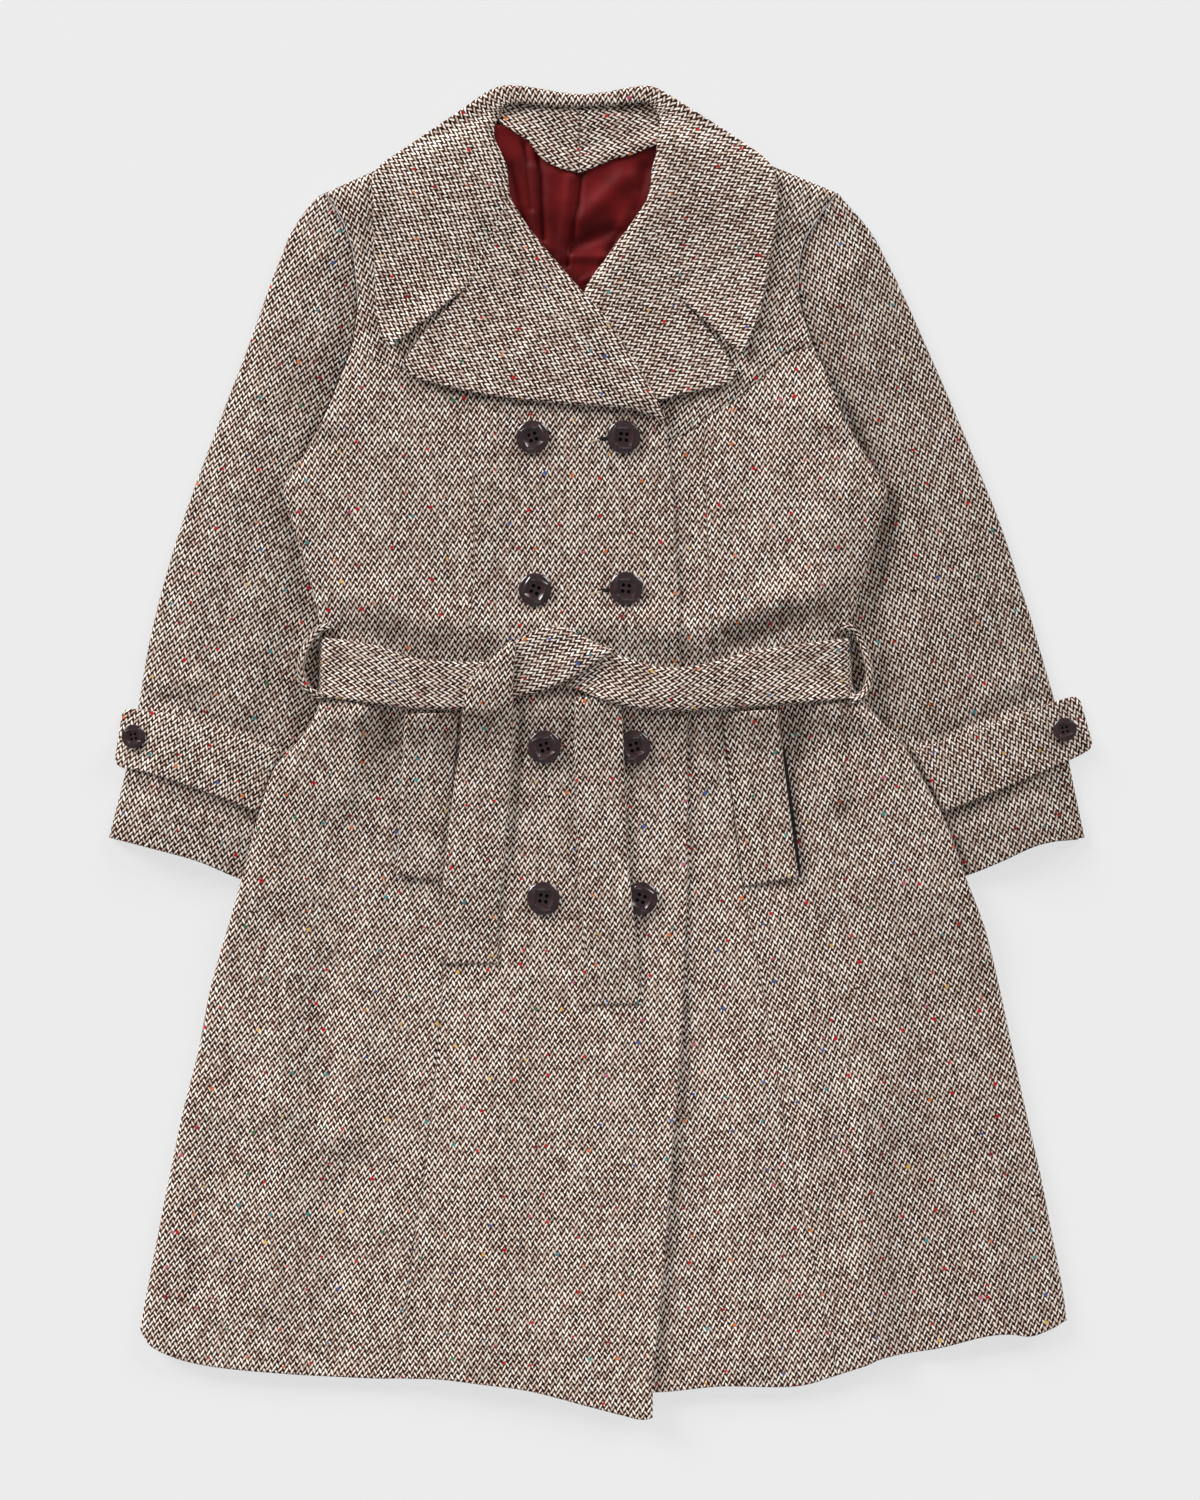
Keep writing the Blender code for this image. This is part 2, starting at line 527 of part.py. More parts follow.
def lapel(side, notch, tip, gorge, roll, low_edge, below):
    """A lapel turned back over its front, from the roll to its free edge."""
    rows = np.linspace(0, 1, 8)
    outer = walk([notch, tip], rows)
    inner = walk(roll, rows)
    gorge = [inner[0], outer[0]]
    if side == "right":
        plan = patch(outer, inner, gorge[::-1], low_edge, even(6))
        plan[0, :, 0] += 3 * SEAM
    else:
        plan = patch(inner, outer, gorge, low_edge, even(6))
        plan[0, :, 0] -= 3 * SEAM
    wall("lapel_" + side, plan, laid(plan, below), DOUBLE, tweed)


def collar(below):
    """Both wings and the roll at the back of the neck, section by section."""
    cells = 6
    share = np.linspace(0, 1, cells + 1)
    rows = []
    for x0, y0, x1, y1, bow in COLLAR:
        across = np.array([x1 - x0, y1 - y0])
        normal = np.array([-across[1], across[0]]) / np.linalg.norm(across)
        middle = np.array([x0, y0]) + across / 2 + normal * bow
        rows.append(walk([(x0, y0), middle, (x1, y1)], share))
    plan = np.array(rows)
    low = laid(plan, below)
    crown = np.zeros(len(plan))
    crown[3:20] = ROLL_CROWN
    low += crown[:, None] * np.sin(np.pi * np.sqrt(share))[None, :]
    low[COLLAR_FOLD, -1] = 2.0
    wall("collar", plan, clear(plan, low, below), DOUBLE, tweed)


def band(name, table, below, along_y, ends=None, steps=2):
    """A stretch of the belt between two edges; a fold at an end turns down round the coat's side."""
    stations = np.interp(np.arange(0, len(table) - 1 + 1e-6, 1 / steps), np.arange(len(table)), table[:, 0])
    edges = [smooth(table, column, stations) for column in (1, 2)]
    if along_y:
        one, other = (np.column_stack([edge, stations]) for edge in edges)
    else:
        one, other = (np.column_stack([stations, edge]) for edge in edges)
    plan = ruled(one, other, 3)
    if ends:
        side_x = straight(SIDES, ends, plan[0, :, 1])
        out = -1 if ends == 1 else 1
        first, second = plan[0].copy(), plan[0].copy()
        first[:, 0], second[:, 0] = side_x + out * 4.4, side_x + out * 0.9
        plan = np.concatenate([[first], [second], plan[1:]])
    low = laid(plan, below, rounds=6)
    if ends:
        low[0] = 0.3
    wall(name, plan, low, DOUBLE, tweed)


def loop(name, route, below):
    """A narrow strap bowed round the belt at the side seam."""
    path = walk(route, np.linspace(0, 1, 11))
    run = np.gradient(path, axis=0)
    normal = np.column_stack([-run[:, 1], run[:, 0]]) / np.linalg.norm(run, axis=1)[:, None]
    plan = ruled(path - normal * LOOP_WIDTH / 2, path + normal * LOOP_WIDTH / 2, 1)
    wall(name, plan, laid(plan, below, rounds=4), CLOTH, tweed)


def flap(name, edges, below, cells, thickness):
    """A tab or welt between two edges, laid on what is below it."""
    shares = np.linspace(0, 1, cells + 1)
    plan = ruled(walk(edges[0], shares), walk(edges[1], shares), 3)
    wall(name, plan, laid(plan, below, rounds=6), thickness, tweed)


def button(name, place, size, below):
    """A turned disc with a rounded rim and a dished well, flat on the cloth."""
    x, y = place
    foot = 0.66 * size["radius"]
    ring = [(x + foot * math.cos(a), y + foot * math.sin(a)) for a in np.linspace(0, 6.28, 25)]
    base = max(ground(px, py, below) for px, py in ring + [place]) + SEAM
    radius, height = size["radius"], size["height"]
    profile = [
        (0.62 * radius, 0), (radius, 0.42 * height), (0.93 * radius, 0.86 * height), (0.8 * radius, height),
        (size["well"], height - 0.4), (0.7 * size["well"], height - size["dish"]),
    ]
    mesh = bmesh.new()
    rings = []
    for r, z in profile:
        turn = [2 * math.pi * k / BUTTON_SIDES for k in range(BUTTON_SIDES)]
        spots = [((x + r * math.cos(a)) * MM, (y + r * math.sin(a)) * MM, (base + z) * MM) for a in turn]
        rings.append([mesh.verts.new(spot) for spot in spots])
    for lower, upper in zip(rings, rings[1:]):
        for k in range(BUTTON_SIDES):
            n = (k + 1) % BUTTON_SIDES
            mesh.faces.new((lower[k], lower[n], upper[n], upper[k]))
    mesh.faces.new(rings[0][::-1])
    mesh.faces.new(rings[-1])
    finish(name, mesh, horn)


for old in list(bpy.data.objects):
    bpy.data.objects.remove(old, do_unlink=True)

coat = bpy.data.objects.new("coat", None)
bpy.context.scene.collection.objects.link(coat)
tweed = cloth_colour("tweed", (0.30, 0.24, 0.21), 0.95)
satin = cloth_colour("satin", (0.12, 0.012, 0.014), 0.45)
horn = cloth_colour("button_resin", (0.018, 0.010, 0.012), 0.25)

sleeve("right", SLEEVE_RIGHT, CUFF_RIGHT, 1, 1)
sleeve("left", SLEEVE_LEFT, CUFF_LEFT, 2, -1)
collar_fall()
belt_back()
back()
lining()
neck_facing()

sleeves = ["top_sleeve_right", "top_sleeve_left"]
inside = sleeves + ["back", "collar_fall", "belt_back", "lining", "neck_facing"]
front("left", False, inside)
left_front = ["yoke_left", "front_left", "side_left"]
front("right", True, inside + left_front)
right_front = ["yoke_right", "front_right", "side_right"]
fronts = left_front + right_front

lapel("left", GORGE_LEFT[-1], LAPEL_TIP_LEFT, GORGE_LEFT, ROLL_LEFT, LAPEL_LOW_LEFT, fronts)
lapel("right", GORGE_RIGHT[-1], LAPEL_TIP_RIGHT, GORGE_RIGHT, ROLL_RIGHT, LAPEL_LOW_RIGHT, fronts)
lapels = ["lapel_left", "lapel_right"]
collar(fronts + lapels + sleeves + ["back", "collar_fall", "neck_facing", "lining"])

flap("welt_right", WELT_RIGHT, fronts, 6, CLOTH)
flap("welt_left", WELT_LEFT, fronts, 6, CLOTH)
flap("tab_right", TAB_RIGHT, sleeves + ["side_right"], 8, DOUBLE)
flap("tab_left", TAB_LEFT, sleeves + ["side_left"], 8, DOUBLE)
on_coat = fronts + ["welt_right", "welt_left"]
buttons = [f"button_{n + 1}" for n in range(len(BUTTONS))]
for name, place in zip(buttons, BUTTONS):
    button(name, place, BUTTON, on_coat)
for name, place in TAB_BUTTONS.items():
    button(name, place, TAB_BUTTON, ["tab_right", "tab_left"])

band("tail_short", TAIL_SHORT, on_coat + buttons, True, steps=1)
band("belt_left", BELT_LEFT, on_coat + buttons + ["tail_short"], False, ends=2)
band("belt_right", BELT_RIGHT, on_coat, False, ends=1)
band("belt_wrap", BELT_WRAP, on_coat + ["belt_left", "belt_right", "tail_short"], False)
band("tail_long", TAIL_LONG, on_coat + ["belt_right", "belt_wrap"], True)
loop("loop_right", LOOP_RIGHT, sleeves + fronts + ["belt_right"])
loop("loop_left", LOOP_LEFT, sleeves + fronts + ["belt_left"])
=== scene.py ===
"""A double-breasted tweed overcoat laid flat on its back on a pale floor, seen from straight above.

Tables are in millimetres: +X is the wearer's left, +Y runs from the hem to the collar, +Z is up.
"""

import math

import bpy
import numpy as np
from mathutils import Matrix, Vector
from mathutils.bvhtree import BVHTree


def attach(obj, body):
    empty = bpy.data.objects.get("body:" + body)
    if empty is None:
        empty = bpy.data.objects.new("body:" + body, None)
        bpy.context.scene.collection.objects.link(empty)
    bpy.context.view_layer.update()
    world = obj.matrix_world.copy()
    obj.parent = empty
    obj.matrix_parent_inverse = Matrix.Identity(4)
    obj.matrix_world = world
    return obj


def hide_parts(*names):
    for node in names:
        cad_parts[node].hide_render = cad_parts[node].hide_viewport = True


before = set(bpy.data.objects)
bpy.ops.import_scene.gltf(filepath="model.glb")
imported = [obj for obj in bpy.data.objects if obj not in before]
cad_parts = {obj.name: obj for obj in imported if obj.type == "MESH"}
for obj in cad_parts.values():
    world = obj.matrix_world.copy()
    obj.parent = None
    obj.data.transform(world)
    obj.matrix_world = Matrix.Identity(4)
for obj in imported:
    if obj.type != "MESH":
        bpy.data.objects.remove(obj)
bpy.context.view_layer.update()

MM = 0.001  # metres in a millimetre
CLOTH = 2.6  # tweed with its interlining and lining
DOUBLE = 3.6  # two tweed layers turned on each other
SATIN = 0.8
FACING = 1.8  # the neck facing, one layer of tweed
GAP = 0.3  # air between one layer and the next
LOFT = 2.6  # room between a front and the back
ROLL = 24.0  # width over which a folded side edge rounds down
FOLD = 2 * CLOTH + GAP  # height of a folded edge
BULK = 7.6  # height of the body's folded side, with its seam and lining inside
INSET = 6.0  # how far the lower layer stays inside a folded edge
SLEEVE_TOP = FOLD + LOFT + 1.0  # height of a sleeve where the body lies on it
SEAM = 9.4  # height of the armhole seam
ARMHOLE_LOW = 262.0  # where the sleeve starts to rise to that seam
GROOVE_LOW = 320.0
GROOVE = 2.0  # depth of the hollow along its upper part, from GROOVE_LOW up
CENTRE_BACK = -19.0  # the middle of the neck lies a little to the wearer's right
UNDER_DROP = 12.0  # how far the under sleeve stays below the top of the cap
TUCK = 85.0  # width of the slope that climbs over a sleeve tucked under the body
OVERLAP_STEP = 24.0  # width of the slope where the over-front climbs on the under-front
STEP = 4.0  # spacing of the cloth's grid
LEAST_WIDTH = 0.0105  # of a sheet, in metres
LEAST_SHARE = 0.31  # of its flat box that a sheet fills
WEAVE_SHIFT = np.array([0.0137, 0.0071])  # from piece to piece, so that no two start the weave alike
CLOSE = np.array([0.0, 0.3, 0.9, 1.8, 3.2, 5.5])  # stations near an edge, where the cloth turns

# Sections of the body: height up the coat, wearer's right edge, wearer's left edge
SIDES = np.array([
    (480, -238, 203), (458, -224, 186), (435, -215, 173), (407, -211, 169), (379, -210, 172),
    (347, -215, 183), (314, -227, 197), (282, -240, 209), (250, -258, 229), (224, -274, 246),
    (198, -266, 240), (164, -256, 230), (129, -246, 220), (95, -241, 212), (61, -240, 214),
    (33, -245, 233), (9, -260, 256), (-17, -282, 272), (-60, -296, 295), (-109, -309, 313),
    (-154, -322, 330), (-206, -337, 343), (-258, -347, 354), (-309, -360, 365), (-361, -371, 377),
    (-412, -381, 387), (-464, -391, 397), (-498, -397, 401),
], float)
YOKE_ROW = 5  # row of SIDES where the yoke seam meets the armhole
ARMPIT_ROW = 9  # row of SIDES where the armhole ends

# Lines down the fronts: height, right princess seam, over-front edge, under-front edge, left princess seam
LINES = np.array([
    (301, -115, 53, -87, 87), (233, -110, 60, -105, 89), (190, -109, 63, -106, 91),
    (129, -111, 66, -106, 93), (75, -117, 68, -107, 98), (33, -122, 73, -108, 104),
    (-11, -126, 74, -108, 109), (-111, -136, 74, -109, 121), (-180, -136, 71, -109, 134),
    (-258, -141, 68, -110, 148), (-344, -150, 61, -111, 162), (-430, -162, 55, -111, 181),
    (-541, -175, 44, -113, 204),
], float)

# Edges in plan: x, y
HEM_SIDE_RIGHT = [
    (-397, -498), (-391, -509), (-380, -517), (-355, -526), (-319, -532), (-259, -537), (-197, -540),
    (-175, -540),
]
HEM_FRONT_RIGHT = [
    (-175, -540), (-139, -541), (-104, -545), (-61, -551), (-15, -563), (16, -571), (33, -575),
    (40, -573),
]
HEM_FRONT_LEFT = [(-113, -538), (-36, -547), (42, -552), (102, -547), (166, -547), (204, -537)]
HEM_SIDE_LEFT = [
    (204, -537), (227, -529), (244, -522), (291, -514), (330, -504), (351, -502), (369, -504),
    (386, -498), (401, -490),
]
SHOULDERS = (((-238, 480), (-90, 541)), ((203, 480), (50, 538)))
BACK_NECK = [(-92, 535), (-19, 547), (52, 532)]
BACK_HEM = [(-376, -511), (-319, -528), (-175, -536), (0, -545), (166, -541), (244, -517), (330, -500)]
YOKE_SIDE_RIGHT = [(-215, 347), (-197, 336), (-173, 328), (-139, 319), (-115, 313)]
YOKE_FRONT_RIGHT = [(-115, 313), (-70, 308), (-27, 303), (16, 300), (47, 295)]
YOKE_SIDE_LEFT = [(88, 283), (112, 299), (134, 316), (147, 330), (162, 342), (183, 347)]
YOKE_FRONT_LEFT = [(-100, 267), (-53, 263), (16, 263), (68, 270), (88, 283)]
NECK_RIGHT = [
    (-98, 541), (-100, 529), (-88, 499), (-87, 473), (-75, 440), (-34, 388), (5, 334), (47, 295),
]
NECK_LEFT = [(58, 538), (57, 516), (52, 499), (48, 473), (16, 424), (-6, 390), (-42, 340), (-100, 267)]
GORGE_RIGHT = [(-78, 475), (-117, 395)]
GORGE_LEFT = [(39, 473), (60.5, 394.5)]
NOTCH_RIGHT = [(-117, 395), (-150, 361), (-171, 332)]
NOTCH_LEFT = [(60.5, 394.5), (89, 364.3), (117, 326)]
LAPEL_LOW_RIGHT = [
    (-171, 332), (-165, 323), (-155, 318), (-125, 310), (-86, 303), (-35, 297.5), (6, 294.5), (27, 292),
    (42, 286.5), (56, 278),
]
LAPEL_LOW_LEFT = [(36, 297), (50, 300), (76, 307), (108, 314), (117, 326)]
ROLL_RIGHT = [
    (-78, 475), (-77, 473), (-59, 445), (-17, 395), (4, 371), (27, 336), (42, 311), (53, 290),
    (56, 278),
]
ROLL_LEFT = [(39, 473), (26, 454), (7, 428), (-15, 394), (-9, 368), (9, 333), (29, 304), (36, 297)]
FACING_LOW_RIGHT = [(-91, 543), (-79, 534), (-63, 523), (-53, 510), (-38, 501), (-19, 496)]
FACING_LOW_LEFT = [(-19, 496), (-1, 503), (10, 508), (27, 512), (55, 524)]
LINING_TOP = [(-96, 541), (-63, 528), (-38, 507), (-19, 502), (10, 513), (27, 518), (54, 527)]

# Collar sections from the right notch round the neck to the left one: roll x, y, outer edge x, y, bow, grain
COLLAR = np.array([
    (-78, 475, -181, 345, 19, 147), (-80, 488, -191, 362, 10, 147), (-81, 501, -194, 400, 4, 147),
    (-86, 514, -196, 439, 0, 147), (-92, 527, -196, 469, 0, 147), (-91, 538, -194, 498, 0, 147),
    (-87, 547, -161, 524, 0, 146), (-83, 553, -126, 548, 0, 135), (-75, 556, -93, 570, 0, 108),
    (-57, 555, -70, 572, 0, 93), (-36, 553, -43, 568, 0, 90), (-19, 553, -19, 565, 0, 90),
    (-1, 554, 4, 567, 0, 90), (20, 555, 26, 571, 0, 86), (36, 557, 46, 571, 0, 70),
    (43, 554, 76, 553, 0, 40), (49, 547, 115, 528, 0, 27), (50, 535, 144, 505, 0, 25),
    (48, 522, 151, 478, 0, 25), (46, 510, 148, 443, 0, 25), (43, 498, 142, 407, -5, 25),
    (42, 485, 134, 370, -11, 25), (39, 473, 120.5, 339.5, -23, 25),
], float)
COLLAR_FOLD = (6, 16)  # sections whose outer edge turns under the back neck
FALL_LOW = 478.0  # height of the fall's free edge

# Sleeve sections: outer edge x, y, height of the inner edge, and how far that edge is tucked under the body
SLEEVE_RIGHT = np.array([
    (-238, 480, 347, -0.5), (-248, 473, 340, -0.6), (-266, 448, 318, -0.8), (-277, 422, 300, -0.8),
    (-287, 396, 284, -0.8), (-307, 340, 257, 12), (-326, 291, 224, 34), (-345, 241, 185, 29),
    (-363, 190, 155, 17), (-378, 140, 126, 7), (-384, 116, 106, 5), (-389, 95, 84, 5),
    (-398, 43, 38, 5), (-403, 14, 12, 8), (-407, -8, -17, 21), (-417, -47, -68, 26),
    (-424, -75, -115, 27),
], float)
SLEEVE_LEFT = np.array([
    (203, 480, 347, -0.5), (211, 471, 340, -0.6), (232, 446, 318, -0.8), (245, 422, 300, -0.8),
    (258, 396, 284, -0.8), (279, 349, 257, 12), (300, 301, 224, 34), (325, 241, 185, 29),
    (345, 190, 155, 17), (361, 140, 126, 7), (369, 116, 106, 5), (375, 95, 84, 5),
    (390, 43, 38, 5), (397, 14, 12, 8), (402, -8, -17, 21), (410, -47, -68, 26), (416, -75, -113, 27),
], float)
# How far the under sleeve runs on below the body: height of the inner edge, reach
UNDER_REACH = np.array([
    (-115, 6), (-68, 6), (-17, 20), (12, 34), (38, 14), (84, -10), (106, 12), (126, 26), (155, 26),
    (185, 26), (224, 28), (257, 40), (300, 38), (318, 28), (340, 10), (347, 6),
], float)
CUFF_RIGHT = [(-424, -75), (-380, -86), (-345, -96), (-309, -111), (-283, -115)]
CUFF_LEFT = [(416, -75), (377, -81), (343, -96), (313, -108), (288, -113)]
TUCKED = np.array([(-205, 0), (-122, 1), (30, 1), (54, 0.1), (95, 0.1), (128, 1), (284, 1), (347, 0)], float)

# Belt stretches: station, then the two edges at it. Bands run along x, tails down y
BELT_BACK = np.array([(-239, 97, 46), (-120, 95, 46), (-14, 94, 46), (110, 95, 46), (211, 96, 45)], float)
BELT_RIGHT = np.array([
    (-244, 98, 46), (-216, 94, 43), (-190, 89, 39), (-154, 78, 35), (-116, 76, 35), (-87, 76, 36),
], float)
BELT_LEFT = np.array([
    (216, 97, 45), (168, 91, 40), (125, 84, 37), (96, 76, 35), (65, 71, 34), (39, 74, 35), (20, 80, 38),
    (-1, 86, 44), (-20, 82, 52), (-36, 72, 59),
], float)
BELT_WRAP = np.array([
    (-79, 90, 44), (-62, 101, 48), (-46, 105.5, 52), (-33, 105.5, 57.5), (-20, 100, 64), (-8, 94, 72),
    (2, 90, 80), (10, 87, 85.5),
], float)
TAIL_LONG = np.array([
    (93, -80, -74), (82, -92, -74), (68, -108, -75), (50, -116, -76), (32, -119, -76),
    (-2, -122, -77), (-54, -130, -80), (-111, -136, -86), (-147, -138, -88), (-183, -139, -89),
], float)
TAIL_SHORT = np.array([
    (46, -23, 17), (33, -23, 18), (3, -23, 19), (-34, -22, 21), (-86, -20, 23), (-127, -18, 26),
    (-172, -14, 31), (-218, -10, 34),
], float)
LOOP_WIDTH = 6.5  # as seen: the loops stand on their edge
LOOP_CUT = (0.012, 0.078, 0.0009)  # width, length and area of a loop lying flat, in metres
LOOP_RIGHT = [(-233, 107), (-243, 103), (-253, 90), (-258, 75), (-257, 62), (-251, 52), (-239, 45)]
LOOP_LEFT = [(206, 107), (216, 104), (224, 92), (229, 75), (230, 61), (225, 49), (213, 42)]
TAB_RIGHT = (
    [(-412, 37), (-371, 31), (-319, 13), (-278, 1)],
    [(-420, -13), (-384, -21), (-345, -34), (-295, -53)],
)
TAB_LEFT = (
    [(411, 48), (390, 42), (343, 25), (270, 0)],
    [(424, 2), (399, -10), (343, -34), (294, -53)],
)
WELT_RIGHT = ([(-122, 33), (-129, -43), (-136, -113)], [(-169, 31), (-172, -43), (-176, -107)])
WELT_LEFT = ([(104, 33), (113, -43), (122, -117)], [(151, 35), (157, -15), (169, -109)])
MOUTH_LEFT = [(156.5, 4), (163, -50), (171, -109)]  # the pocket's mouth beside the left welt

# Middle line of the belt across the fronts: x, y
BELT_LINE = np.array([
    (-244, 72), (-216, 68), (-190, 64), (-154, 56), (-116, 55), (-87, 56), (-40, 62), (13, 60),
    (39, 55), (65, 53), (96, 55), (125, 61), (168, 65), (216, 71),
], float)
# The body is gathered at the belt: x, how far it blouses over the belt, how far it falls away below it
PUFFS = np.array([
    (-244, 1, 3), (-205, 4, 7.5), (-150, 5.5, 9), (-112, 3, 7), (-80, 1, 4), (10, 1, 5), (40, 1, 6.5),
    (70, 3, 8), (110, 7, 9), (180, 7, 8.5), (216, 1, 3),
], float)

# Direction of the weave's columns in each piece, in degrees from +X, and in the skirt, below the belt
GRAIN = {
    "front_right": 90, "side_right": 91, "front_left": 91, "side_left": 92,
    "yoke_right": 100, "yoke_left": 79,
    "top_sleeve_right": 76, "top_sleeve_left": 106, "under_sleeve_right": 76, "under_sleeve_left": 106,
    "tab_right": 67, "tab_left": 113, "lapel_right": 153, "lapel_left": 26,
    "welt_right": 84.5, "welt_left": 98,
    "back": 90, "collar_fall": 90, "belt_back": 0, "lining": 90,
}
# Painted light and shade of each piece as it lies, a factor on its colour: below 1 is painted shade, above 1
# painted light; a piece not named here is 1
PIECE_PAINTED_LIGHT_SHADE = {
    "top_sleeve_right": 0.93, "top_sleeve_left": 0.85, "tab_right": 1.05, "tab_left": 0.95, "collar": 1.04,
    "neck_facing": 0.93,
}
SKIRT_GRAIN = {"side_right": 82.5, "front_right": 88, "front_left": 94, "side_left": 100.5}
WAIST = 66.0  # height below which the skirt's grain holds
BELT_MIDDLE = 71.0  # height of the back belt's middle line
BELT_PAINTED_SHADE = 0.32  # painted shade on the fronts just above the belt, where the cloth dips in behind it
BELT_SHADE_ABOVE, BELT_SHADE_HALF = 30, 15  # where that is above the belt's middle line, and its half width
SKIRT_PAINTED_LIGHT, SKIRT_PAINTED_SHADE = 0.1, 0.05  # painted light over the skirt, and painted shade at its left side

# Creases, ridges and dents: from x, y, to x, y, half width, height
FRONT_FOLDS = [
    (116, 93, 170, 113, 11, -5.0), (-72, 55, -72, -12, 6, -4.0), (-72, -12, -78, -92, 6, -3.5),
    (-228, 134, -180, 128, 13, 3.0), (-180, 128, -130, 116, 12, 2.2), (-218, 104, -136, 92, 9, -2.4),
    (100, 118, 150, 130, 13, 3.0), (150, 130, 206, 142, 15, 3.6), (112, 94, 205, 112, 10, -2.6),
    (-12, 122, 60, 104, 12, 2.2), (-120, 130, -128, 230, 9, -1.6), (-104, 130, -106, 240, 10, 1.8),
    (74, 120, 78, 250, 7, -1.8), (100, 135, 106, 260, 10, 2.2), (128, 150, 150, 250, 16, 2.6),
    (168, 170, 176, 262, 14, -1.8), (-170, 150, -178, 260, 18, 2.0), (-214, 180, -232, 262, 12, -2.2),
    (-206, 34, -220, -40, 10, 4.2), (-182, 30, -190, -30, 8, -2.6), (-158, 28, -164, -34, 8, 3.4),
    (-140, 28, -142, -20, 6, -2.0), (86, 26, 92, -24, 7, 2.8), (112, 28, 120, -14, 7, -2.2),
    (138, 30, 146, -20, 8, 2.6), (164, 30, 172, -12, 7, -2.0), (190, 40, 204, -40, 9, 5.0),
    (214, 30, 236, -30, 8, -1.6), (-268, -190, -278, -300, 20, 5.2), (-234, -185, -243, -300, 14, -4.6),
    (-268, -310, -286, -470, 20, 4.2), (-200, -120, -215, -330, 18, 3.6),
    (-330, -340, -352, -470, 13, -2.0), (-222, -360, -228, -520, 16, -4.0),
    (-90, -250, -95, -500, 24, 3.4), (-50, -230, -52, -470, 20, -2.4), (222, -300, 236, -528, 15, 5.6),
    (258, -340, 268, -512, 15, -4.8), (120, -300, 130, -520, 20, 3.8), (156, -200, 166, -440, 16, -2.6),
    (196, -150, 208, -420, 14, -3.0), (334, -380, 346, -505, 16, 4.6), (236, -110, 268, -330, 16, 4.0),
    (300, -200, 330, -360, 16, 3.0), (304, -159, 338, -279, 2.2, -0.9),
    (338, -279, 373, -464, 2.2, -0.9), (159, 2, 172, -108, 5, -2.5),
]
# The yoke seams sink a little at the sides
for yoke_seam, sunk in ((YOKE_SIDE_LEFT, -0.9), (YOKE_SIDE_RIGHT, -0.6)):
    FRONT_FOLDS += [(*one, *other, 3.2, sunk) for one, other in zip(yoke_seam, yoke_seam[1:])]
SLEEVE_FOLDS = [
    (-288, 400, -312, 310, 16, 2.6), (-250, 400, -264, 300, 18, -3.0), (218, 410, 226, 320, 12, 2.2),
    (246, 390, 262, 300, 16, -2.8), (-236, 430, -240, 330, 9, 2.2), (-300, 300, -290, 210, 16, 1.8),
    (-310, 190, -340, 50, 20, -1.6), (-277, 214, -254, 120, 12, -3.4), (-268, 96, -296, 20, 10, -2.6),
    (-400, 46, -366, 42, 5, -2.8), (-360, 36, -290, 10, 4, -2.4), (-396, 62, -350, 58, 9, 2.4),
    (-345, 56, -300, 36, 9, 1.8), (-392, -30, -300, -60, 8, -1.4), (222, 420, 262, 320, 12, 1.8),
    (226, 120, 272, 14, 8, -2.4), (300, 250, 330, 120, 20, 1.8), (250, 214, 228, 130, 12, -3.4),
    (200, 300, 240, 240, 9, -1.8), (400, 52, 360, 40, 4, -2.4), (356, 38, 276, 8, 4, -2.4),
    (390, 72, 330, 50, 9, 2.4), (388, -26, 310, -58, 8, -1.4),
]
LINING_FOLDS = [
    (-18, 496, -20.7, 470, 2.5, -3.8), (-21.4, 466, -30, 418, 2.5, -3.6), (-26, 492, -36, 424, 5, 2.2),
    (-54, 522, -51, 440, 2.6, -3.2), (-66, 522, -60, 466, 2.6, -2.8), (-60, 500, -56, 440, 4, 2.4),
    (-44, 496, -43, 432, 5, 2.0), (-78, 500, -68, 452, 4, -2.6), (20, 492, -16, 456, 9, 4.0),
    (8, 448, -24, 434, 5.5, -4.6), (2, 424, -28, 425, 4.5, 2.6), (38, 500, 28, 466, 6, -3.2),
    (0, 412, -16, 404, 2.6, 1.3), (16, 446, 0, 418, 3.2, -1.8), (30, 476, 16, 450, 5, 1.8),
]

# Middles of the buttons: x, y
BUTTONS = [(-59, 269), (19, 269), (-57, 138), (21, 139), (-49, 3), (28, 3), (-50, -127), (34, -127)]
TAB_BUTTONS = {"tab_button_right": (-402, 12), "tab_button_left": (398, 18)}

COAT_BUTTON = (0.0142, 0.0046)  # radius and height in metres
CUFF_BUTTON = (0.0102, 0.0040)

made = {}  # shape and extent in plan of each piece made so far, for the layers that lie on it


def ramp(value):
    """A soft step from 0 to 1; a distance is divided by the width that its step takes."""
    share = np.clip(value, 0.0, 1.0)
    return share * share * (3 - 2 * share)


def through(points, rows):
    """A smooth line through a table's rows, read at fractions of a row."""
    points = np.asarray(points, float)
    slope = np.gradient(points, axis=0)
    row = np.clip(np.floor(rows).astype(int), 0, len(points) - 2)
    t = (np.asarray(rows) - row)[:, None]
    a, b = points[row], points[row + 1]
    eased = a + (b - a) * t * t * (3 - 2 * t)
    return eased + slope[row] * t * (1 - t) ** 2 - slope[row + 1] * t * t * (1 - t)


def lengths(points):
    """Distance along a line of points, at each of them."""
    return np.concatenate([[0], np.cumsum(np.linalg.norm(np.diff(points, axis=0), axis=1))])


def line(points, shares):
    """A smooth line through a few points, read at shares of its length."""
    fine = through(points, np.linspace(0, len(points) - 1, 40 * len(points)))
    run = lengths(fine)
    at = np.asarray(shares) * run[-1]
    return np.column_stack([np.interp(at, run, fine[:, 0]), np.interp(at, run, fine[:, 1])])


def smooth(table, column, where):
    """A column of a table read at a height, along a smooth line."""
    rising = table[np.argsort(table[:, 0])][:, [0, column]]
    curve = through(rising, np.linspace(0, len(table) - 1, 40 * len(table)))
    return np.interp(where, curve[:, 0], curve[:, 1])


def side_line(column):
    """A side edge of the body, with a corner at the armpit: heights going up, and x at them."""
    parts = [SIDES[:ARMPIT_ROW + 1], SIDES[ARMPIT_ROW:]]
    fine = [through(part[:, [0, column]], np.linspace(0, len(part) - 1, 30 * len(part))) for part in parts]
    joined = np.vstack(fine)[::-1]
    return joined[:, 0], joined[:, 1]


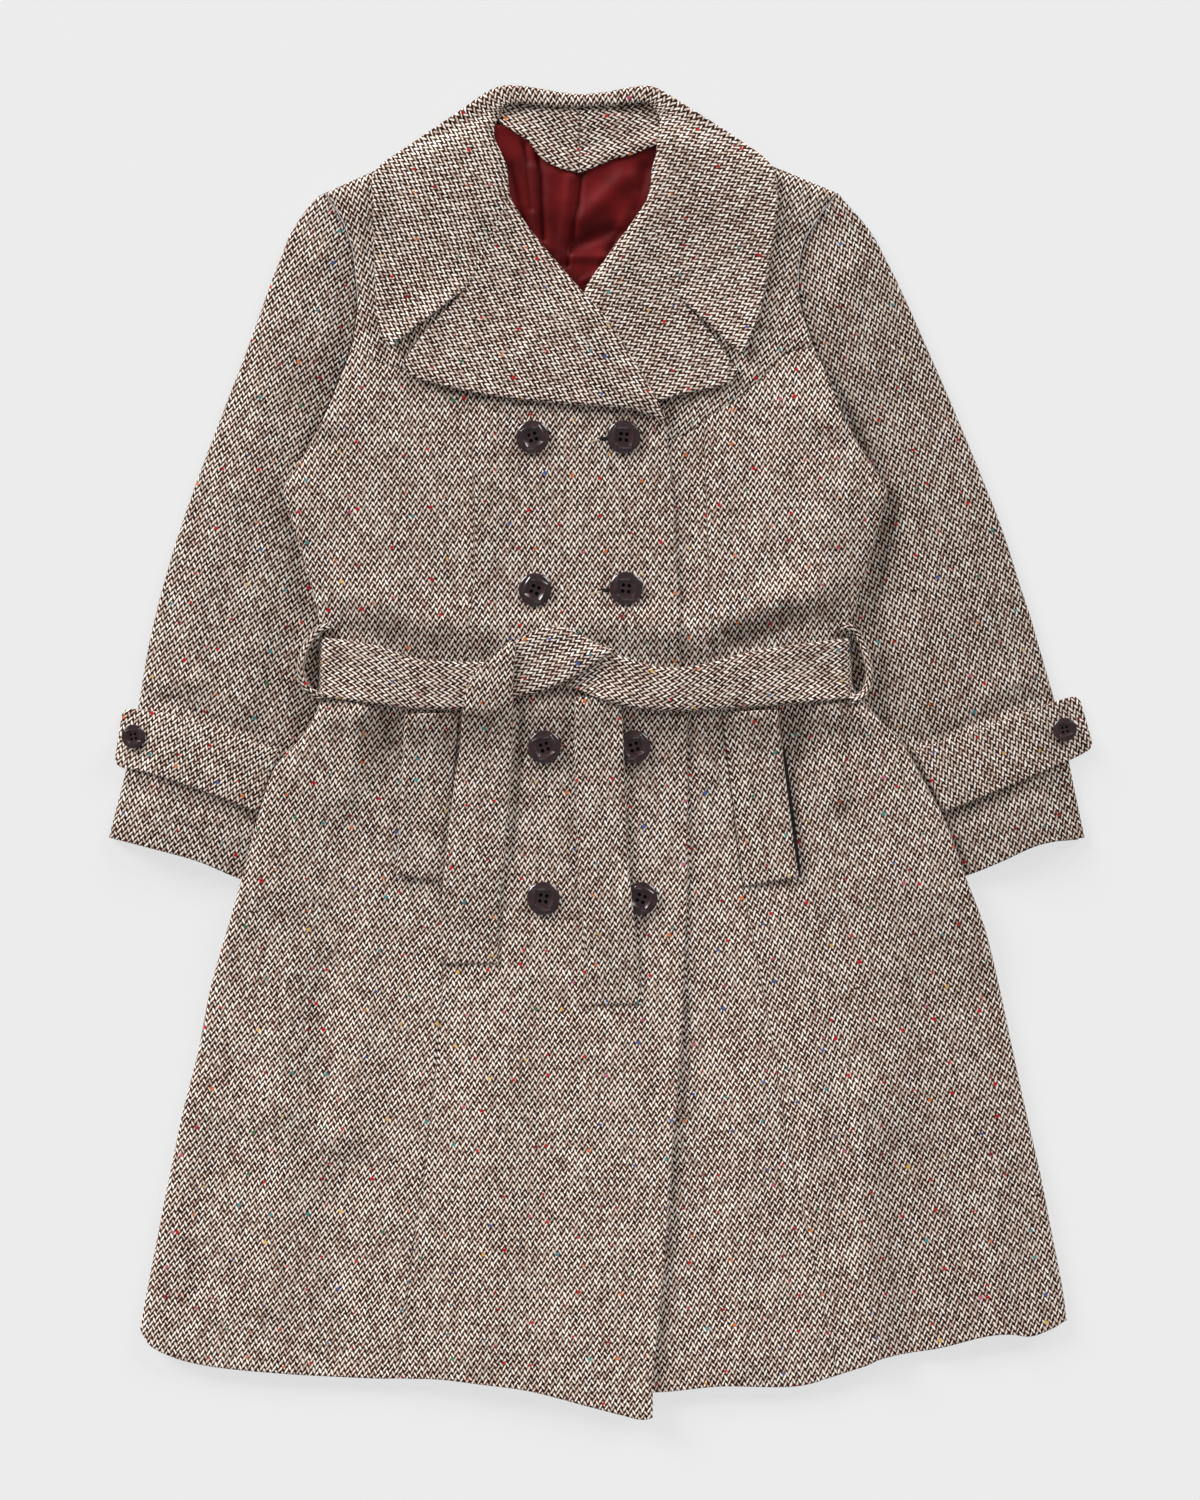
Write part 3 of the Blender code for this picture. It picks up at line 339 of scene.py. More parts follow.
SIDE_LINES = {"right": side_line(1), "left": side_line(2)}


def side_x(side, y):
    """Where a side edge of the body is at a height."""
    return np.interp(y, *SIDE_LINES[side])


def spread(length, step=STEP):
    """Shares along an edge: close together at both ends, where the cloth turns, and even between."""
    inner = np.linspace(CLOSE[-1], length - CLOSE[-1], max(3, int(round(length / step))))
    return np.concatenate([CLOSE[:-1], inner, (length - CLOSE[:-1])[::-1]]) / length


def coons(left, right, top, bottom, u, v):
    """A plan grid that fills four edges."""
    u, v = u[None, :, None], v[:, None, None]
    corners = (1 - v) * ((1 - u) * left[0] + u * right[0]) + v * ((1 - u) * left[-1] + u * right[-1])
    return (1 - v) * top[None] + v * bottom[None] + (1 - u) * left[:, None] + u * right[:, None] - corners


def to_edges(plan):
    """Distance of each grid point from the first and last column and from the first and last row."""
    across = np.cumsum(np.pad(np.linalg.norm(np.diff(plan, axis=1), axis=2), ((0, 0), (1, 0))), axis=1)
    down = np.cumsum(np.pad(np.linalg.norm(np.diff(plan, axis=0), axis=2), ((1, 0), (0, 0))), axis=0)
    return across, across[:, -1:] - across, down, down[-1:] - down


def quarter(distance, width):
    """A quarter round: 0 at an edge, 1 once this far inside it."""
    return np.sqrt(1 - (1 - np.clip(distance / width, 0, 1)) ** 2)


def folds_at(folds, x, y):
    """Soft ridges and troughs along straight lines."""
    total = np.zeros_like(x)
    for x0, y0, x1, y1, half, height in folds:
        dx, dy = x1 - x0, y1 - y0
        t = np.clip(((x - x0) * dx + (y - y0) * dy) / (dx * dx + dy * dy), 0, 1)
        away = np.hypot(x - x0 - t * dx, y - y0 - t * dy)
        total += height * np.exp(-((away / half) ** 2))
    return total


def ripple(x, y, seed):
    """Slight unevenness of cloth that was laid by hand."""
    a = np.sin(x / 31 + 1.3 * seed + 1.7 * np.sin(y / 57 + seed))
    b = np.sin(y / 43 + 2.1 * seed + 1.4 * np.sin(x / 49 - seed))
    return 0.25 * (a + b)


def lift(x, y):
    """Height of the back's underside: over the tucked sleeves, the belt and the folded collar."""
    share = np.interp(y, TUCKED[:, 0], TUCKED[:, 1])
    heights = []
    for table, side, sign in ((SLEEVE_RIGHT, "right", 1), (SLEEVE_LEFT, "left", -1)):
        order = np.argsort(table[:, 2])
        inner = side_x(side, y) + sign * np.interp(y, table[order, 2], table[order, 3])
        heights.append(ramp((sign * (inner - x) + TUCK) / TUCK))
    belt = (DOUBLE + GAP) * ramp((62 - np.abs(y - BELT_MIDDLE)) / 32)
    fall = (DOUBLE + GAP) * ramp((y - FALL_LOW + 40) / 36) * ramp((214 - np.abs(x - CENTRE_BACK)) / 40)
    return (SLEEVE_TOP + GAP) * share * np.maximum(*heights) + belt + fall


def inward(x, y):
    """Distance inside the nearest side or shoulder edge."""
    sides = np.minimum(x - side_x("right", y), side_x("left", y) - x)
    shoulders = []
    for start, end in SHOULDERS:
        dx, dy = end[0] - start[0], end[1] - start[1]
        shoulders.append(np.abs((x - start[0]) * dy - (y - start[1]) * dx) / math.hypot(dx, dy))
    return np.maximum(np.minimum(sides, np.where(x < CENTRE_BACK, *shoulders)), 0.0)


def top_of(below, x, y):
    """Highest of the pieces below each point; bare floor is 0."""
    best = np.zeros(x.shape)
    for name in below:
        tree, (x0, y0), (x1, y1) = made[name]
        inside = (x > x0) & (x < x1) & (y > y0) & (y < y1)
        for k in zip(*np.nonzero(inside)):
            hit = tree.ray_cast(Vector((x[k] * MM, y[k] * MM, 1.0)), Vector((0, 0, -1)))[0]
            if hit is not None:
                best[k] = max(best[k], hit.z / MM)
    return best


def around(grid, pick):
    """The four neighbours of each grid point, put together by a function."""
    padded = np.pad(grid, 1, mode="edge")
    return pick([padded[:-2, 1:-1], padded[2:, 1:-1], padded[1:-1, :-2], padded[1:-1, 2:]])


def settle(plan, low, below):
    """Raises an underside softly wherever the layers below come too near."""
    need = np.maximum(top_of(below, plan[..., 0], plan[..., 1]) + GAP - low, 0.0)
    soft = need
    for _ in range(14):
        soft = np.maximum(need, 0.5 * soft + 0.5 * around(soft, lambda near: np.mean(near, axis=0)))
    return low + soft


def drape(plan, below, rounds=60):
    """Underside of a piece that lies over others like a stiff cloth."""
    floor = top_of(below, plan[..., 0], plan[..., 1])
    floor = np.maximum(floor, around(floor, lambda near: np.max(near, axis=0))) + GAP
    low = floor
    for _ in range(rounds):
        low = np.maximum(floor, 0.4 * low + 0.6 * around(low, lambda near: np.mean(near, axis=0)))
    return low


def grain_uv(plan, degrees, skirt=None):
    """Weave coordinates in metres: across the columns, and along them."""
    x, y = plan[..., 0], plan[..., 1]
    angle = np.radians(np.where(y < WAIST, degrees if skirt is None else skirt, degrees))
    c, s = np.cos(angle), np.sin(angle)
    return np.stack([s * x - c * (y - WAIST), c * x + s * (y - WAIST)], axis=-1) * MM


def strip_uv(plan):
    """Weave coordinates of a strip: across it, and along it."""
    across = to_edges(plan)[0]
    middle = plan[:, plan.shape[1] // 2]
    along = np.broadcast_to(lengths(middle)[:, None], across.shape)
    return np.stack([across, along], axis=-1) * MM


def over_rims(points, edge, uv):
    """Weave coordinates that run on down the steep rim of a piece, by the cloth's own length."""
    flat = uv.copy()
    for axis in (0, 1):
        step = np.diff(points, axis=axis)
        steep = np.linalg.norm(step, axis=2) - 1.3 * np.linalg.norm(step[..., :2], axis=2)
        near = (edge[1:] + edge[:-1] if axis == 0 else edge[:, 1:] + edge[:, :-1]) < 12
        along = np.diff(uv, axis=axis)
        along = along / np.maximum(np.linalg.norm(along, axis=2, keepdims=True), 1e-9)
        extra = np.cumsum(along * (np.maximum(steep, 0) * near)[..., None] * MM, axis=axis)
        extra = np.insert(extra, 0, 0.0, axis=axis)
        flat += extra - np.take(extra, [extra.shape[axis] // 2], axis=axis)
    return flat


def surface(plan, top, low, uv, turn, flush=0.0):
    """Points, faces and weave coordinates of a closed cloth shell, its rim rounded where it isn't flush."""
    rows, columns = top.shape
    edge = np.min(to_edges(plan), axis=0)
    middle = (top + low) / 2
    share = (1 - quarter(edge, turn)) * (1 - flush)
    upper = np.dstack([plan, top + (middle - top) * share])
    wrapped = over_rims(upper, edge, uv)
    upper = upper.reshape(-1, 3) * MM
    lower = np.dstack([plan, low + (middle - low) * share]).reshape(-1, 3) * MM
    index = np.arange(rows * columns).reshape(rows, columns)
    under = index + rows * columns
    rim = np.zeros((rows, columns), bool)
    rim[[0, -1]] = rim[:, [0, -1]] = True
    under = np.where(rim, index, under)
    quads = []
    for grid in (index, under):
        corners = [grid[:-1, :-1], grid[1:, :-1], grid[1:, 1:], grid[:-1, 1:]]
        quads.append(np.stack(corners, axis=-1).reshape(-1, 4))
    a, b, c = (upper[quads[0][0, k]] for k in range(3))
    turned = np.cross(b - a, c - a)[2] < 0
    quads[0 if turned else 1] = quads[0 if turned else 1][:, ::-1]
    faces = np.vstack(quads)
    points = np.vstack([upper, lower])
    both = np.vstack([wrapped.reshape(-1, 2), uv.reshape(-1, 2)])
    kept = np.unique(faces)
    number = np.zeros(len(points), int)
    number[kept] = np.arange(len(kept))
    return points[kept], number[faces], both[kept], (upper, quads[0], uv.reshape(-1, 2))


def painted_light_shade_of(name, x, y):
    """Painted light and shade as a factor on the colour: each piece's own, painted shade just above the belt,
    and painted light over the skirt with painted shade at its left side.
    """
    painted_light_shade = np.full(len(x), PIECE_PAINTED_LIGHT_SHADE.get(name, 1.0))
    if name.startswith(("front_", "side_")):
        above = y - np.interp(x, BELT_LINE[:, 0], BELT_LINE[:, 1])
        # Painted shade just above the belt; painted light over the skirt and painted shade at its left side
        skirt = ramp((-40 - y) / 120)
        belt_shade = np.exp(-(((above - BELT_SHADE_ABOVE) / BELT_SHADE_HALF) ** 2))
        painted_light_shade *= 1 - BELT_PAINTED_SHADE * belt_shade * ramp((200 - np.abs(x + 14)) / 30)
        painted_light_shade *= 1 + skirt * (SKIRT_PAINTED_LIGHT * ramp((215 - x) / 70) - SKIRT_PAINTED_SHADE * ramp((x - 190) / 60))
    return painted_light_shade


def mesh_of(name, points, faces):
    """A new mesh from arrays of points and faces."""
    mesh = bpy.data.meshes.new(name)
    mesh.from_pydata(points.tolist(), [], faces.tolist())
    return mesh


def set_down(name, mesh, stands_for=None):
    """Puts a mesh into the scene, riding on the coat's one body."""
    piece = bpy.data.objects.new(name, mesh)
    bpy.context.scene.collection.objects.link(piece)
    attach(piece, "root")
    if stands_for:
        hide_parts(stands_for)
    return piece


def remember(name, points, faces):
    """Keeps a piece's shape and its extent in plan, in millimetres, for the layers above it."""
    tree = BVHTree.FromPolygons(points.tolist(), faces)
    made[name] = (tree, points[:, :2].min(axis=0) / MM, points[:, :2].max(axis=0) / MM)


def build(name, shells, material, cut=None):
    """A piece of the coat from one or more closed shells; it stands for the solid of the same name."""
    points, faces, uvs, start = [], [], [], 0
    width, length = 0.0, 0.0
    for part in shells:
        points.append(part[0])
        faces.append(part[1] + start)
        uvs.append(part[2])
        start += len(part[0])
        width += max(float(np.ptp(part[3][2][:, 0])), LEAST_WIDTH)
        length = max(float(np.ptp(part[3][2][:, 1])), length)
    points, faces, uvs = np.vstack(points), np.vstack(faces), np.vstack(uvs)
    mesh = mesh_of(name + "_cloth", points, faces)
    layer = mesh.uv_layers.new(name="weave")
    layer.uv.foreach_set("vector", uvs[faces.ravel()].astype(np.float32).ravel())
    # Painted light and shade of each point, which the tweed multiplies into its colour
    painted_light_shade = mesh.attributes.new("painted_light_shade", "FLOAT", "POINT")
    painted_light_shade.data.foreach_set("value", painted_light_shade_of(name, points[:, 0] / MM, points[:, 1] / MM).astype(np.float32))
    mesh.shade_smooth()
    mesh.materials.append(material)
    piece = set_down(name + "_cloth", mesh, name)
    remember(name, points, faces.tolist())
    area = 0.0
    for corners, quads, _ in (part[3] for part in shells):
        p = corners[quads][:, :, :2]
        d1, d2 = p[:, 2] - p[:, 0], p[:, 3] - p[:, 1]
        area += float(np.abs(d1[:, 0] * d2[:, 1] - d1[:, 1] * d2[:, 0]).sum() / 2)
    if cut:
        width, length, area = cut
    area = min(max(area, LEAST_SHARE * width * length), width * length)


def cloth(name, plan, top, low, uv=None, turn=1.6, flush=0.0, material=None, slot="tweed", cut=None):
    """One sheet of the coat on a plan grid, between an upper and a lower height."""
    if uv is None:
        uv = grain_uv(plan, GRAIN[name], SKIRT_GRAIN.get(name))
    uv = uv + WEAVE_SHIFT * (len(made) + 1)
    build(name, [surface(plan, top, low, uv, turn, flush)], material or tweed, cut)


def hex_colour(code):
    """Linear colour of an sRGB hex code."""
    parts = [int(code[k:k + 2], 16) / 255 for k in (0, 2, 4)]
    return tuple(c / 12.92 if c <= 0.04045 else ((c + 0.055) / 1.055) ** 2.4 for c in parts) + (1.0,)


def node(tree, kind, sources=(), output=0, stops=(), **settings):
    """Adds a shader node with its settings and links, and gives one output, or all where output is None.

    Sources are values or outputs to link, for its inputs in turn or by name; stops are a ramp's colours.
    """
    new = tree.nodes.new("ShaderNode" + kind)
    for key, value in settings.items():
        setattr(new, key, value)
    named = sources.items() if isinstance(sources, dict) else enumerate(sources)
    for key, source in named:
        if isinstance(source, bpy.types.NodeSocket):
            tree.links.new(source, new.inputs[key])
        else:
            new.inputs[key].default_value = source
    if stops:
        elements = new.color_ramp.elements
        elements[0].position, elements[1].position = stops[0][0], stops[-1][0]
        for place, _ in stops[1:-1]:
            elements.new(place)
        for element, (_, code) in zip(elements, stops):
            element.color = hex_colour(code)
    return new.outputs if output is None else new.outputs[output]


def shader(name, **sockets):
    """A new material, its node tree and its shader, with constant values set on the shader."""
    material = bpy.data.materials.new(name)
    material.use_nodes = True
    principled = material.node_tree.nodes["Principled BSDF"]
    for key, value in sockets.items():
        principled.inputs[key.replace("_", " ")].default_value = value
    return material, material.node_tree, principled


COLUMN = 2.62  # width of one column of the weave
REPEAT = 6.15  # one stroke of pale yarn and one of dark along a column
SLANT = 0.5  # share of the repeat that a stroke climbs across its column
LEAN = -0.08  # what both directions of stroke share, so that one diagonal of the cloth shows more
# How many of each lie along a metre, from their size
SHADES = 22.0  # lighter and darker places of a cloth, 45 mm
SLUBS = 33.0  # coloured slubs, 30 mm apart
WAVES = 90.0  # slow wander of the yarns, 11 mm
CLOUDS = 180.0  # clouds in the resin, 5.5 mm
TWISTS = 700.0  # unevenness of the spun yarn, 1.4 mm
WEFTS = 1500.0  # threads of the satin, drawn as coarse as 0.7 mm so that they show
HAIRS = 1900.0  # fibres of the nap, drawn as coarse as 0.5 mm so that they show


def make_tweed():
    """Woollen tweed woven in broken chevrons: pale and dark brown yarn in slanted strokes, soft with nap,
    with coloured slubs here and there. The eye sees a salt-and-pepper cloth with no shine."""
    material, tree, principled = shader(
        "wool_tweed_woven_broken_chevron", Roughness=0.95, Specular_IOR_Level=0.02,
        Sheen_Weight=0.015, Sheen_Roughness=0.5)
    uv = node(tree, "UVMap", uv_map="weave")
    place = node(tree, "SeparateXYZ", [uv], None)
    wave = {"Vector": uv, "Scale": WAVES, "Detail": 2.0}
    wave = node(tree, "TexNoise", wave, "Color", noise_dimensions="2D")
    wave = node(tree, "SeparateColor", [wave], None)
    yarn = {"Vector": uv, "Scale": TWISTS, "Detail": 1.0}
    yarn = node(tree, "TexNoise", yarn, "Color", noise_dimensions="2D")
    yarn = node(tree, "SeparateColor", [yarn], None)
    tone = {"Vector": uv, "Scale": SHADES, "Detail": 2.0}
    tone = node(tree, "TexNoise", tone, noise_dimensions="2D")
    fuzz = {"Vector": uv, "Scale": HAIRS, "Detail": 3.0, "Roughness": 0.65}
    fuzz = node(tree, "TexNoise", fuzz, noise_dimensions="2D")

    # The columns of the weave, and the slanted strokes of pale yarn along each
    across = node(tree, "Math", [place[0], 1 / (COLUMN * MM), 50.0], operation="MULTIPLY_ADD")
    across = node(tree, "Math", [wave[0], 0.3, across], operation="MULTIPLY_ADD")
    across = node(tree, "Math", [yarn[0], 0.2, across], operation="MULTIPLY_ADD")
    along = node(tree, "Math", [place[1], 1 / (REPEAT * MM), 50.0], operation="MULTIPLY_ADD")
    along = node(tree, "Math", [wave[1], 0.4, along], operation="MULTIPLY_ADD")
    along = node(tree, "Math", [yarn[1], 0.16, along], operation="MULTIPLY_ADD")
    column = node(tree, "Math", [across], operation="FLOOR")
    inside = node(tree, "Math", [across], operation="FRACT")
    inside = node(tree, "Math", [inside, 0.5], operation="SUBTRACT")
    parity = node(tree, "Math", [column, 0.5], operation="MULTIPLY")
    parity = node(tree, "Math", [parity], operation="FRACT")
    slope = node(tree, "Math", [parity, -4 * SLANT, SLANT + LEAN], operation="MULTIPLY_ADD")
    along = node(tree, "Math", [along, parity], operation="ADD")
    phase = node(tree, "Math", [inside, slope, along], operation="MULTIPLY_ADD")
    stroke = node(tree, "Math", [phase], operation="FLOOR")
    centre = node(tree, "Math", [phase], operation="FRACT")
    centre = node(tree, "Math", [centre, 0.5], operation="SUBTRACT")
    centre = node(tree, "Math", [centre], operation="ABSOLUTE")
    centre = node(tree, "Math", [centre, 2.0], operation="MULTIPLY")

    # Each stroke draws its own width and shade
    key = node(tree, "CombineXYZ", [column, stroke, 0.0])
    draw = node(tree, "TexWhiteNoise", [key], "Color", noise_dimensions="2D")
    draw = node(tree, "SeparateColor", [draw], None)
    tone = node(tree, "Math", [tone, 0.5], operation="SUBTRACT")
    beside = node(tree, "Math", [inside], operation="ABSOLUTE")
    width = node(tree, "Math", [draw[0], 0.22, 0.34], operation="MULTIPLY_ADD")
    width = node(tree, "Math", [tone, 0.12, width], operation="MULTIPLY_ADD")
    width = node(tree, "Math", [width, 0.06], operation="ADD")
    width = node(tree, "Math", [beside, -0.24, width], operation="MULTIPLY_ADD")
    pale = node(tree, "Math", [width, centre], operation="SUBTRACT")
    pale = node(tree, "Math", [pale, 3.6, 0.5], operation="MULTIPLY_ADD", use_clamp=True)
    pale = node(tree, "Math", [pale, pale], operation="MULTIPLY")
    shade = node(tree, "Math", [fuzz, 0.4], operation="MULTIPLY")
    shade = node(tree, "Math", [draw[2], 0.6, shade], operation="MULTIPLY_ADD")
    cream = node(tree, "ValToRGB", [draw[1]], stops=[
        (0.0, "cab8a8"), (0.25, "e6d8ca"), (0.7, "f8ecdf"), (1.0, "fffaf0")])
    brown = node(tree, "ValToRGB", [shade], stops=[
        (0.0, "200b08"), (0.4, "371914"), (0.8, "522d24"), (1.0, "805445")])
    woven = node(tree, "Mix", {"Factor": pale, 6: brown, 7: cream}, 2, data_type="RGBA")

    # Slubs, 0.75 to 2.45 mm across
    knot = node(tree, "TexVoronoi", {"Vector": uv, "Scale": SLUBS}, None, voronoi_dimensions="2D")
    pick = node(tree, "SeparateColor", [knot["Color"]], None)
    slub = node(tree, "ValToRGB", [pick[0]], stops=[
        (0.0, "c2232c"), (0.4, "d8743a"), (0.5, "dcb04e"), (0.58, "3f8f8f"), (0.67, "4a5f9e"),
        (0.76, "3f7d55"), (0.81, "bd5a7c"), (0.87, "8c2430"), (0.95, "241a1c")])
    slub.node.color_ramp.interpolation = "CONSTANT"
    size = node(tree, "Math", [pick[1], 0.9 * MM * SLUBS, 0.75 * MM * SLUBS], operation="MULTIPLY_ADD")
    size = node(tree, "Math", [yarn[2], 0.8 * MM * SLUBS, size], operation="MULTIPLY_ADD")
    fleck = node(tree, "Math", [size, knot["Distance"]], operation="SUBTRACT")
    fleck = node(tree, "Math", [fleck, 40.0, 0.0], operation="MULTIPLY_ADD", use_clamp=True)
    woven = node(tree, "Mix", {"Factor": fleck, 6: woven, 7: slub}, 2, data_type="RGBA")

    # The nap's hairs in random tone, times the painted light and shade, over all of it; and the nap's relief
    painted_light_shade = node(tree, "Attribute", output="Fac", attribute_name="painted_light_shade")
    hair_tone_and_painted_shade = node(tree, "Math", [fuzz, 0.5, 0.75], operation="MULTIPLY_ADD")
    hair_tone_and_painted_shade = node(tree, "Math", [hair_tone_and_painted_shade, painted_light_shade], operation="MULTIPLY")
    hair_tone_and_painted_shade = node(tree, "CombineColor", [hair_tone_and_painted_shade, hair_tone_and_painted_shade, hair_tone_and_painted_shade])
    shaded = {"Factor": 1.0, 6: woven, 7: hair_tone_and_painted_shade}
    shaded = node(tree, "Mix", shaded, 2, data_type="RGBA", blend_type="MULTIPLY")
    height = node(tree, "Math", [fuzz, 0.5, pale], operation="MULTIPLY_ADD")
    bump = node(tree, "Bump", {"Strength": 0.55, "Distance": 0.0006, "Height": height})
    tree.links.new(shaded, principled.inputs["Base Color"])
    tree.links.new(bump, principled.inputs["Normal"])
    return material


def make_satin():
    """Acetate lining woven in satin and pressed: a deep wine red, with soft light along its folds."""
    material, tree, principled = shader(
        "acetate_lining_woven_satin", Roughness=0.55, Specular_IOR_Level=0.12, Sheen_Weight=0.0)
    uv = node(tree, "UVMap", uv_map="weave")
    cloud = {"Vector": uv, "Scale": SHADES, "Detail": 3.0}
    cloud = node(tree, "TexNoise", cloud, noise_dimensions="2D")
    colour = node(tree, "ValToRGB", [cloud], stops=[(0.25, "40080a"), (0.5, "600e10"), (0.75, "771517")])
    weft = {"Vector": uv, "Scale": WEFTS, "Detail": 2.0}
    weft = node(tree, "TexNoise", weft, noise_dimensions="2D")
    bump = node(tree, "Bump", {"Strength": 0.15, "Distance": 0.0003, "Height": weft})
    tree.links.new(colour, principled.inputs["Base Color"])
    tree.links.new(bump, principled.inputs["Normal"])
    return material


def make_resin():
    """Cast polyester resin, tumbled to a polish: dark aubergine brown with small bright lights on rims."""
    material, tree, principled = shader(
        "cast_resin_tumble_polished", Roughness=0.2, Specular_IOR_Level=0.5,
        Coat_Weight=0.5, Coat_Roughness=0.05)
    spot = node(tree, "TexCoord", output="Object")
    cloud = node(tree, "TexNoise", {"Vector": spot, "Scale": CLOUDS, "Detail": 3.0})
    colour = node(tree, "ValToRGB", [cloud], stops=[(0.3, "221213"), (0.55, "311b1e"), (0.8, "43282b")])
    tree.links.new(colour, principled.inputs["Base Color"])
    return material


def sleeve(side, table, cuff, sign):
    """The under sleeve on the floor and the top sleeve folded over its edges."""
    inner = np.column_stack([side_x(side, table[:, 2]) + sign * table[:, 3], table[:, 2]])
    outer = table[:, :2].copy()
    cap = SIDES[:YOKE_ROW + 1]
    armhole = np.column_stack([cap[:, 1 if side == "right" else 2] - sign * 0.5, cap[:, 0]])
    outer[0], inner[0] = armhole[0], armhole[-1]
    run = lengths((outer + inner) / 2)
    v = spread(run[-1])
    rows = np.interp(v * run[-1], run, np.arange(len(run)))
    across = (inner - outer) / np.linalg.norm(inner - outer, axis=1)[:, None]
    for name, inset, drop in (("under_sleeve_" + side, INSET, UNDER_DROP), ("top_sleeve_" + side, 0.0, 0.0)):
        under = np.interp(table[:, 2], *UNDER_REACH.T) * (inset > 0)
        within = inner + np.column_stack([sign * under, np.zeros(len(under))])
        left, right = through(outer + across * inset, rows), through(within, rows)
        u = spread(float(np.mean(np.linalg.norm(right - left, axis=1))))
        top = line(armhole, u)
        bottom = line([left[-1], *cuff[1:-1], right[-1]], u)
        top += (left[0] - top[0]) * (1 - u)[:, None] + (right[0] - top[-1]) * u[:, None]
        plan = coons(left, right, top, bottom, u, v)
        if drop:
            plan = plan[np.searchsorted(v * run[-1], drop):]
            cloth(name, plan, np.full(plan.shape[:2], CLOTH), np.zeros(plan.shape[:2]))
            continue
        x, y = plan[..., 0], plan[..., 1]
        sides = to_edges(plan)
        # Rounded at its folded edges, with its folds, and fuller between them
        away = np.minimum(np.minimum(sides[0], sides[1]), sides[2] + 2.0)
        wave = (folds_at(SLEEVE_FOLDS, x, y) + ripple(x, y, 2.0 + sign)) * ramp(away / ROLL)
        full = 9.0 * ramp((sides[1] - (0 if side == "right" else 16)) / 62)
        full = full * ramp(sides[0] / 40) * ramp(sides[2] / 60)
        high = FOLD * (0.5 + 0.5 * quarter(away, 5.0)) + LOFT * quarter(away, ROLL) + wave + full
        # It rises to the armhole seam, which lies in a hollow
        seam = np.minimum(sides[2], np.where(y > ARMHOLE_LOW, sides[1], 99.0))
        near = ramp(1 - seam / 26) * ramp(sides[0] / 14) * ramp((y - ARMHOLE_LOW) / 24)
        high = high + (SEAM - high) * near
        sunk = np.exp(-((seam / 10) ** 2)) * ramp((y - GROOVE_LOW) / 40) * ramp(sides[0] / 20)
        high = high - GROOVE * sunk
        high = np.maximum(high, 2 * CLOTH + 0.4 - 2.6 * (1 - quarter(away, 5.0)))
        low = np.where(away < CLOSE[-1] - 0.1, FOLD / 2 * (1 - quarter(away, 5.0)), high - CLOTH)
        cloth(name, plan, high, low)


def back():
    """The back panel, which lies over the tucked sleeves, the folded collar and the back belt."""
    height = SIDES[0, 0] - SIDES[-1, 0]
    v = spread(height, 12.0)
    y = SIDES[0, 0] - v * height
    sides = [np.column_stack([side_x(s, y) + sign * INSET, y]) for s, sign in (("right", 1), ("left", -1))]
    sides[1][:, 1] += v * 10  # the hem lies higher at this side
    u = spread(600.0, 14.0)
    top = line([sides[0][0], *BACK_NECK, sides[1][0]], u)
    bottom = line([sides[0][-1], *BACK_HEM, sides[1][-1]], u)
    plan = coons(*sides, top, bottom, u, v)
    below = ["top_sleeve_right", "top_sleeve_left", "collar_fall", "belt_back"]
    low = settle(plan, lift(plan[..., 0], plan[..., 1]), below)
    cloth("back", plan, low + CLOTH, low)


def flat_strip(name, one, other, thickness):
    """A strip that lies flat on the floor between two edges."""
    u = spread(float(np.mean(np.linalg.norm(one - other, axis=1))))[None, :, None]
    plan = one[:, None] * (1 - u) + other[:, None] * u
    low = np.zeros(plan.shape[:2])
    cloth(name, plan, low + thickness, low)


def collar_fall():
    """The fall of the collar, turned under the back neck."""
    rows = np.linspace(*COLLAR_FOLD, 60)
    fold = through(COLLAR[:, 2:4], rows)
    middle = np.array([-19.0, 500.0])
    fold = fold + (middle - fold) / np.linalg.norm(middle - fold, axis=1)[:, None] * INSET
    low_edge = np.column_stack([np.linspace(-158, 112, 60), np.full(60, FALL_LOW)])
    flat_strip("collar_fall", fold, low_edge, DOUBLE)


def belt_back():
    """The stretch of the belt behind the back."""
    x = -239 + 450 * spread(450.0)
    edges = [np.column_stack([x, smooth(BELT_BACK, k, x)]) for k in (1, 2)]
    flat_strip("belt_back", *edges, DOUBLE)


def lining():
    """The part of the lining that shows below the neck facing, with its pleat and creases."""
    v, u = spread(170.0, 1.8), spread(120.0, 1.8)
    bottom = [(-24, 372), (-7, 372)]
    right = line([LINING_TOP[0], (-95, 512), (-86, 478), (-50, 420), bottom[0]], v)
    left = line([LINING_TOP[-1], (53, 512), (47, 478), (17, 420), bottom[-1]], v)
    plan = coons(right, left, line(LINING_TOP, u), line(bottom, u), u, v)
    x, y = plan[..., 0], plan[..., 1]
    low = drape(plan, ["back", "collar_fall"], 8)
    wave = folds_at(LINING_FOLDS, x, y) + 4.4 + 0.3 * ripple(x * 2.2, y * 1.3, 4.0)
    cloth("lining", plan, low + SATIN + np.maximum(wave, 0), low + np.maximum(wave, 0), turn=0.6,
          material=satin, slot="lining")


def neck_facing():
    """Two halves with their weave mirrored at the centre back seam."""
    shells = []
    halves = (
        (FACING_LOW_RIGHT, [(-86, 557), (-19.2, 557)], 164, 0),
        (FACING_LOW_LEFT, [(-18.8, 557), (51, 557)], 6.5, 1),
    )
    for low_line, top_line, grain, flip in halves:
        u, v = spread(68.0, 3.5), spread(50.0, 3.5)
        low_line = np.array(low_line, float)
        low_line[0 if flip else -1, 0] = top_line[0 if flip else 1][0]
        left = line([top_line[0], low_line[0]], v)
        right = line([top_line[1], low_line[-1]], v)
        plan = coons(left, right, line(top_line, u), line(low_line, u), u, v)
        low = drape(plan, ["back", "lining", "collar_fall"], 30) + 1.2 * ramp((plan[..., 1] - 500) / 50)
        shells.append(surface(plan, low + FACING, low, grain_uv(plan, grain), 1.2))
    build("neck_facing", shells, tweed)


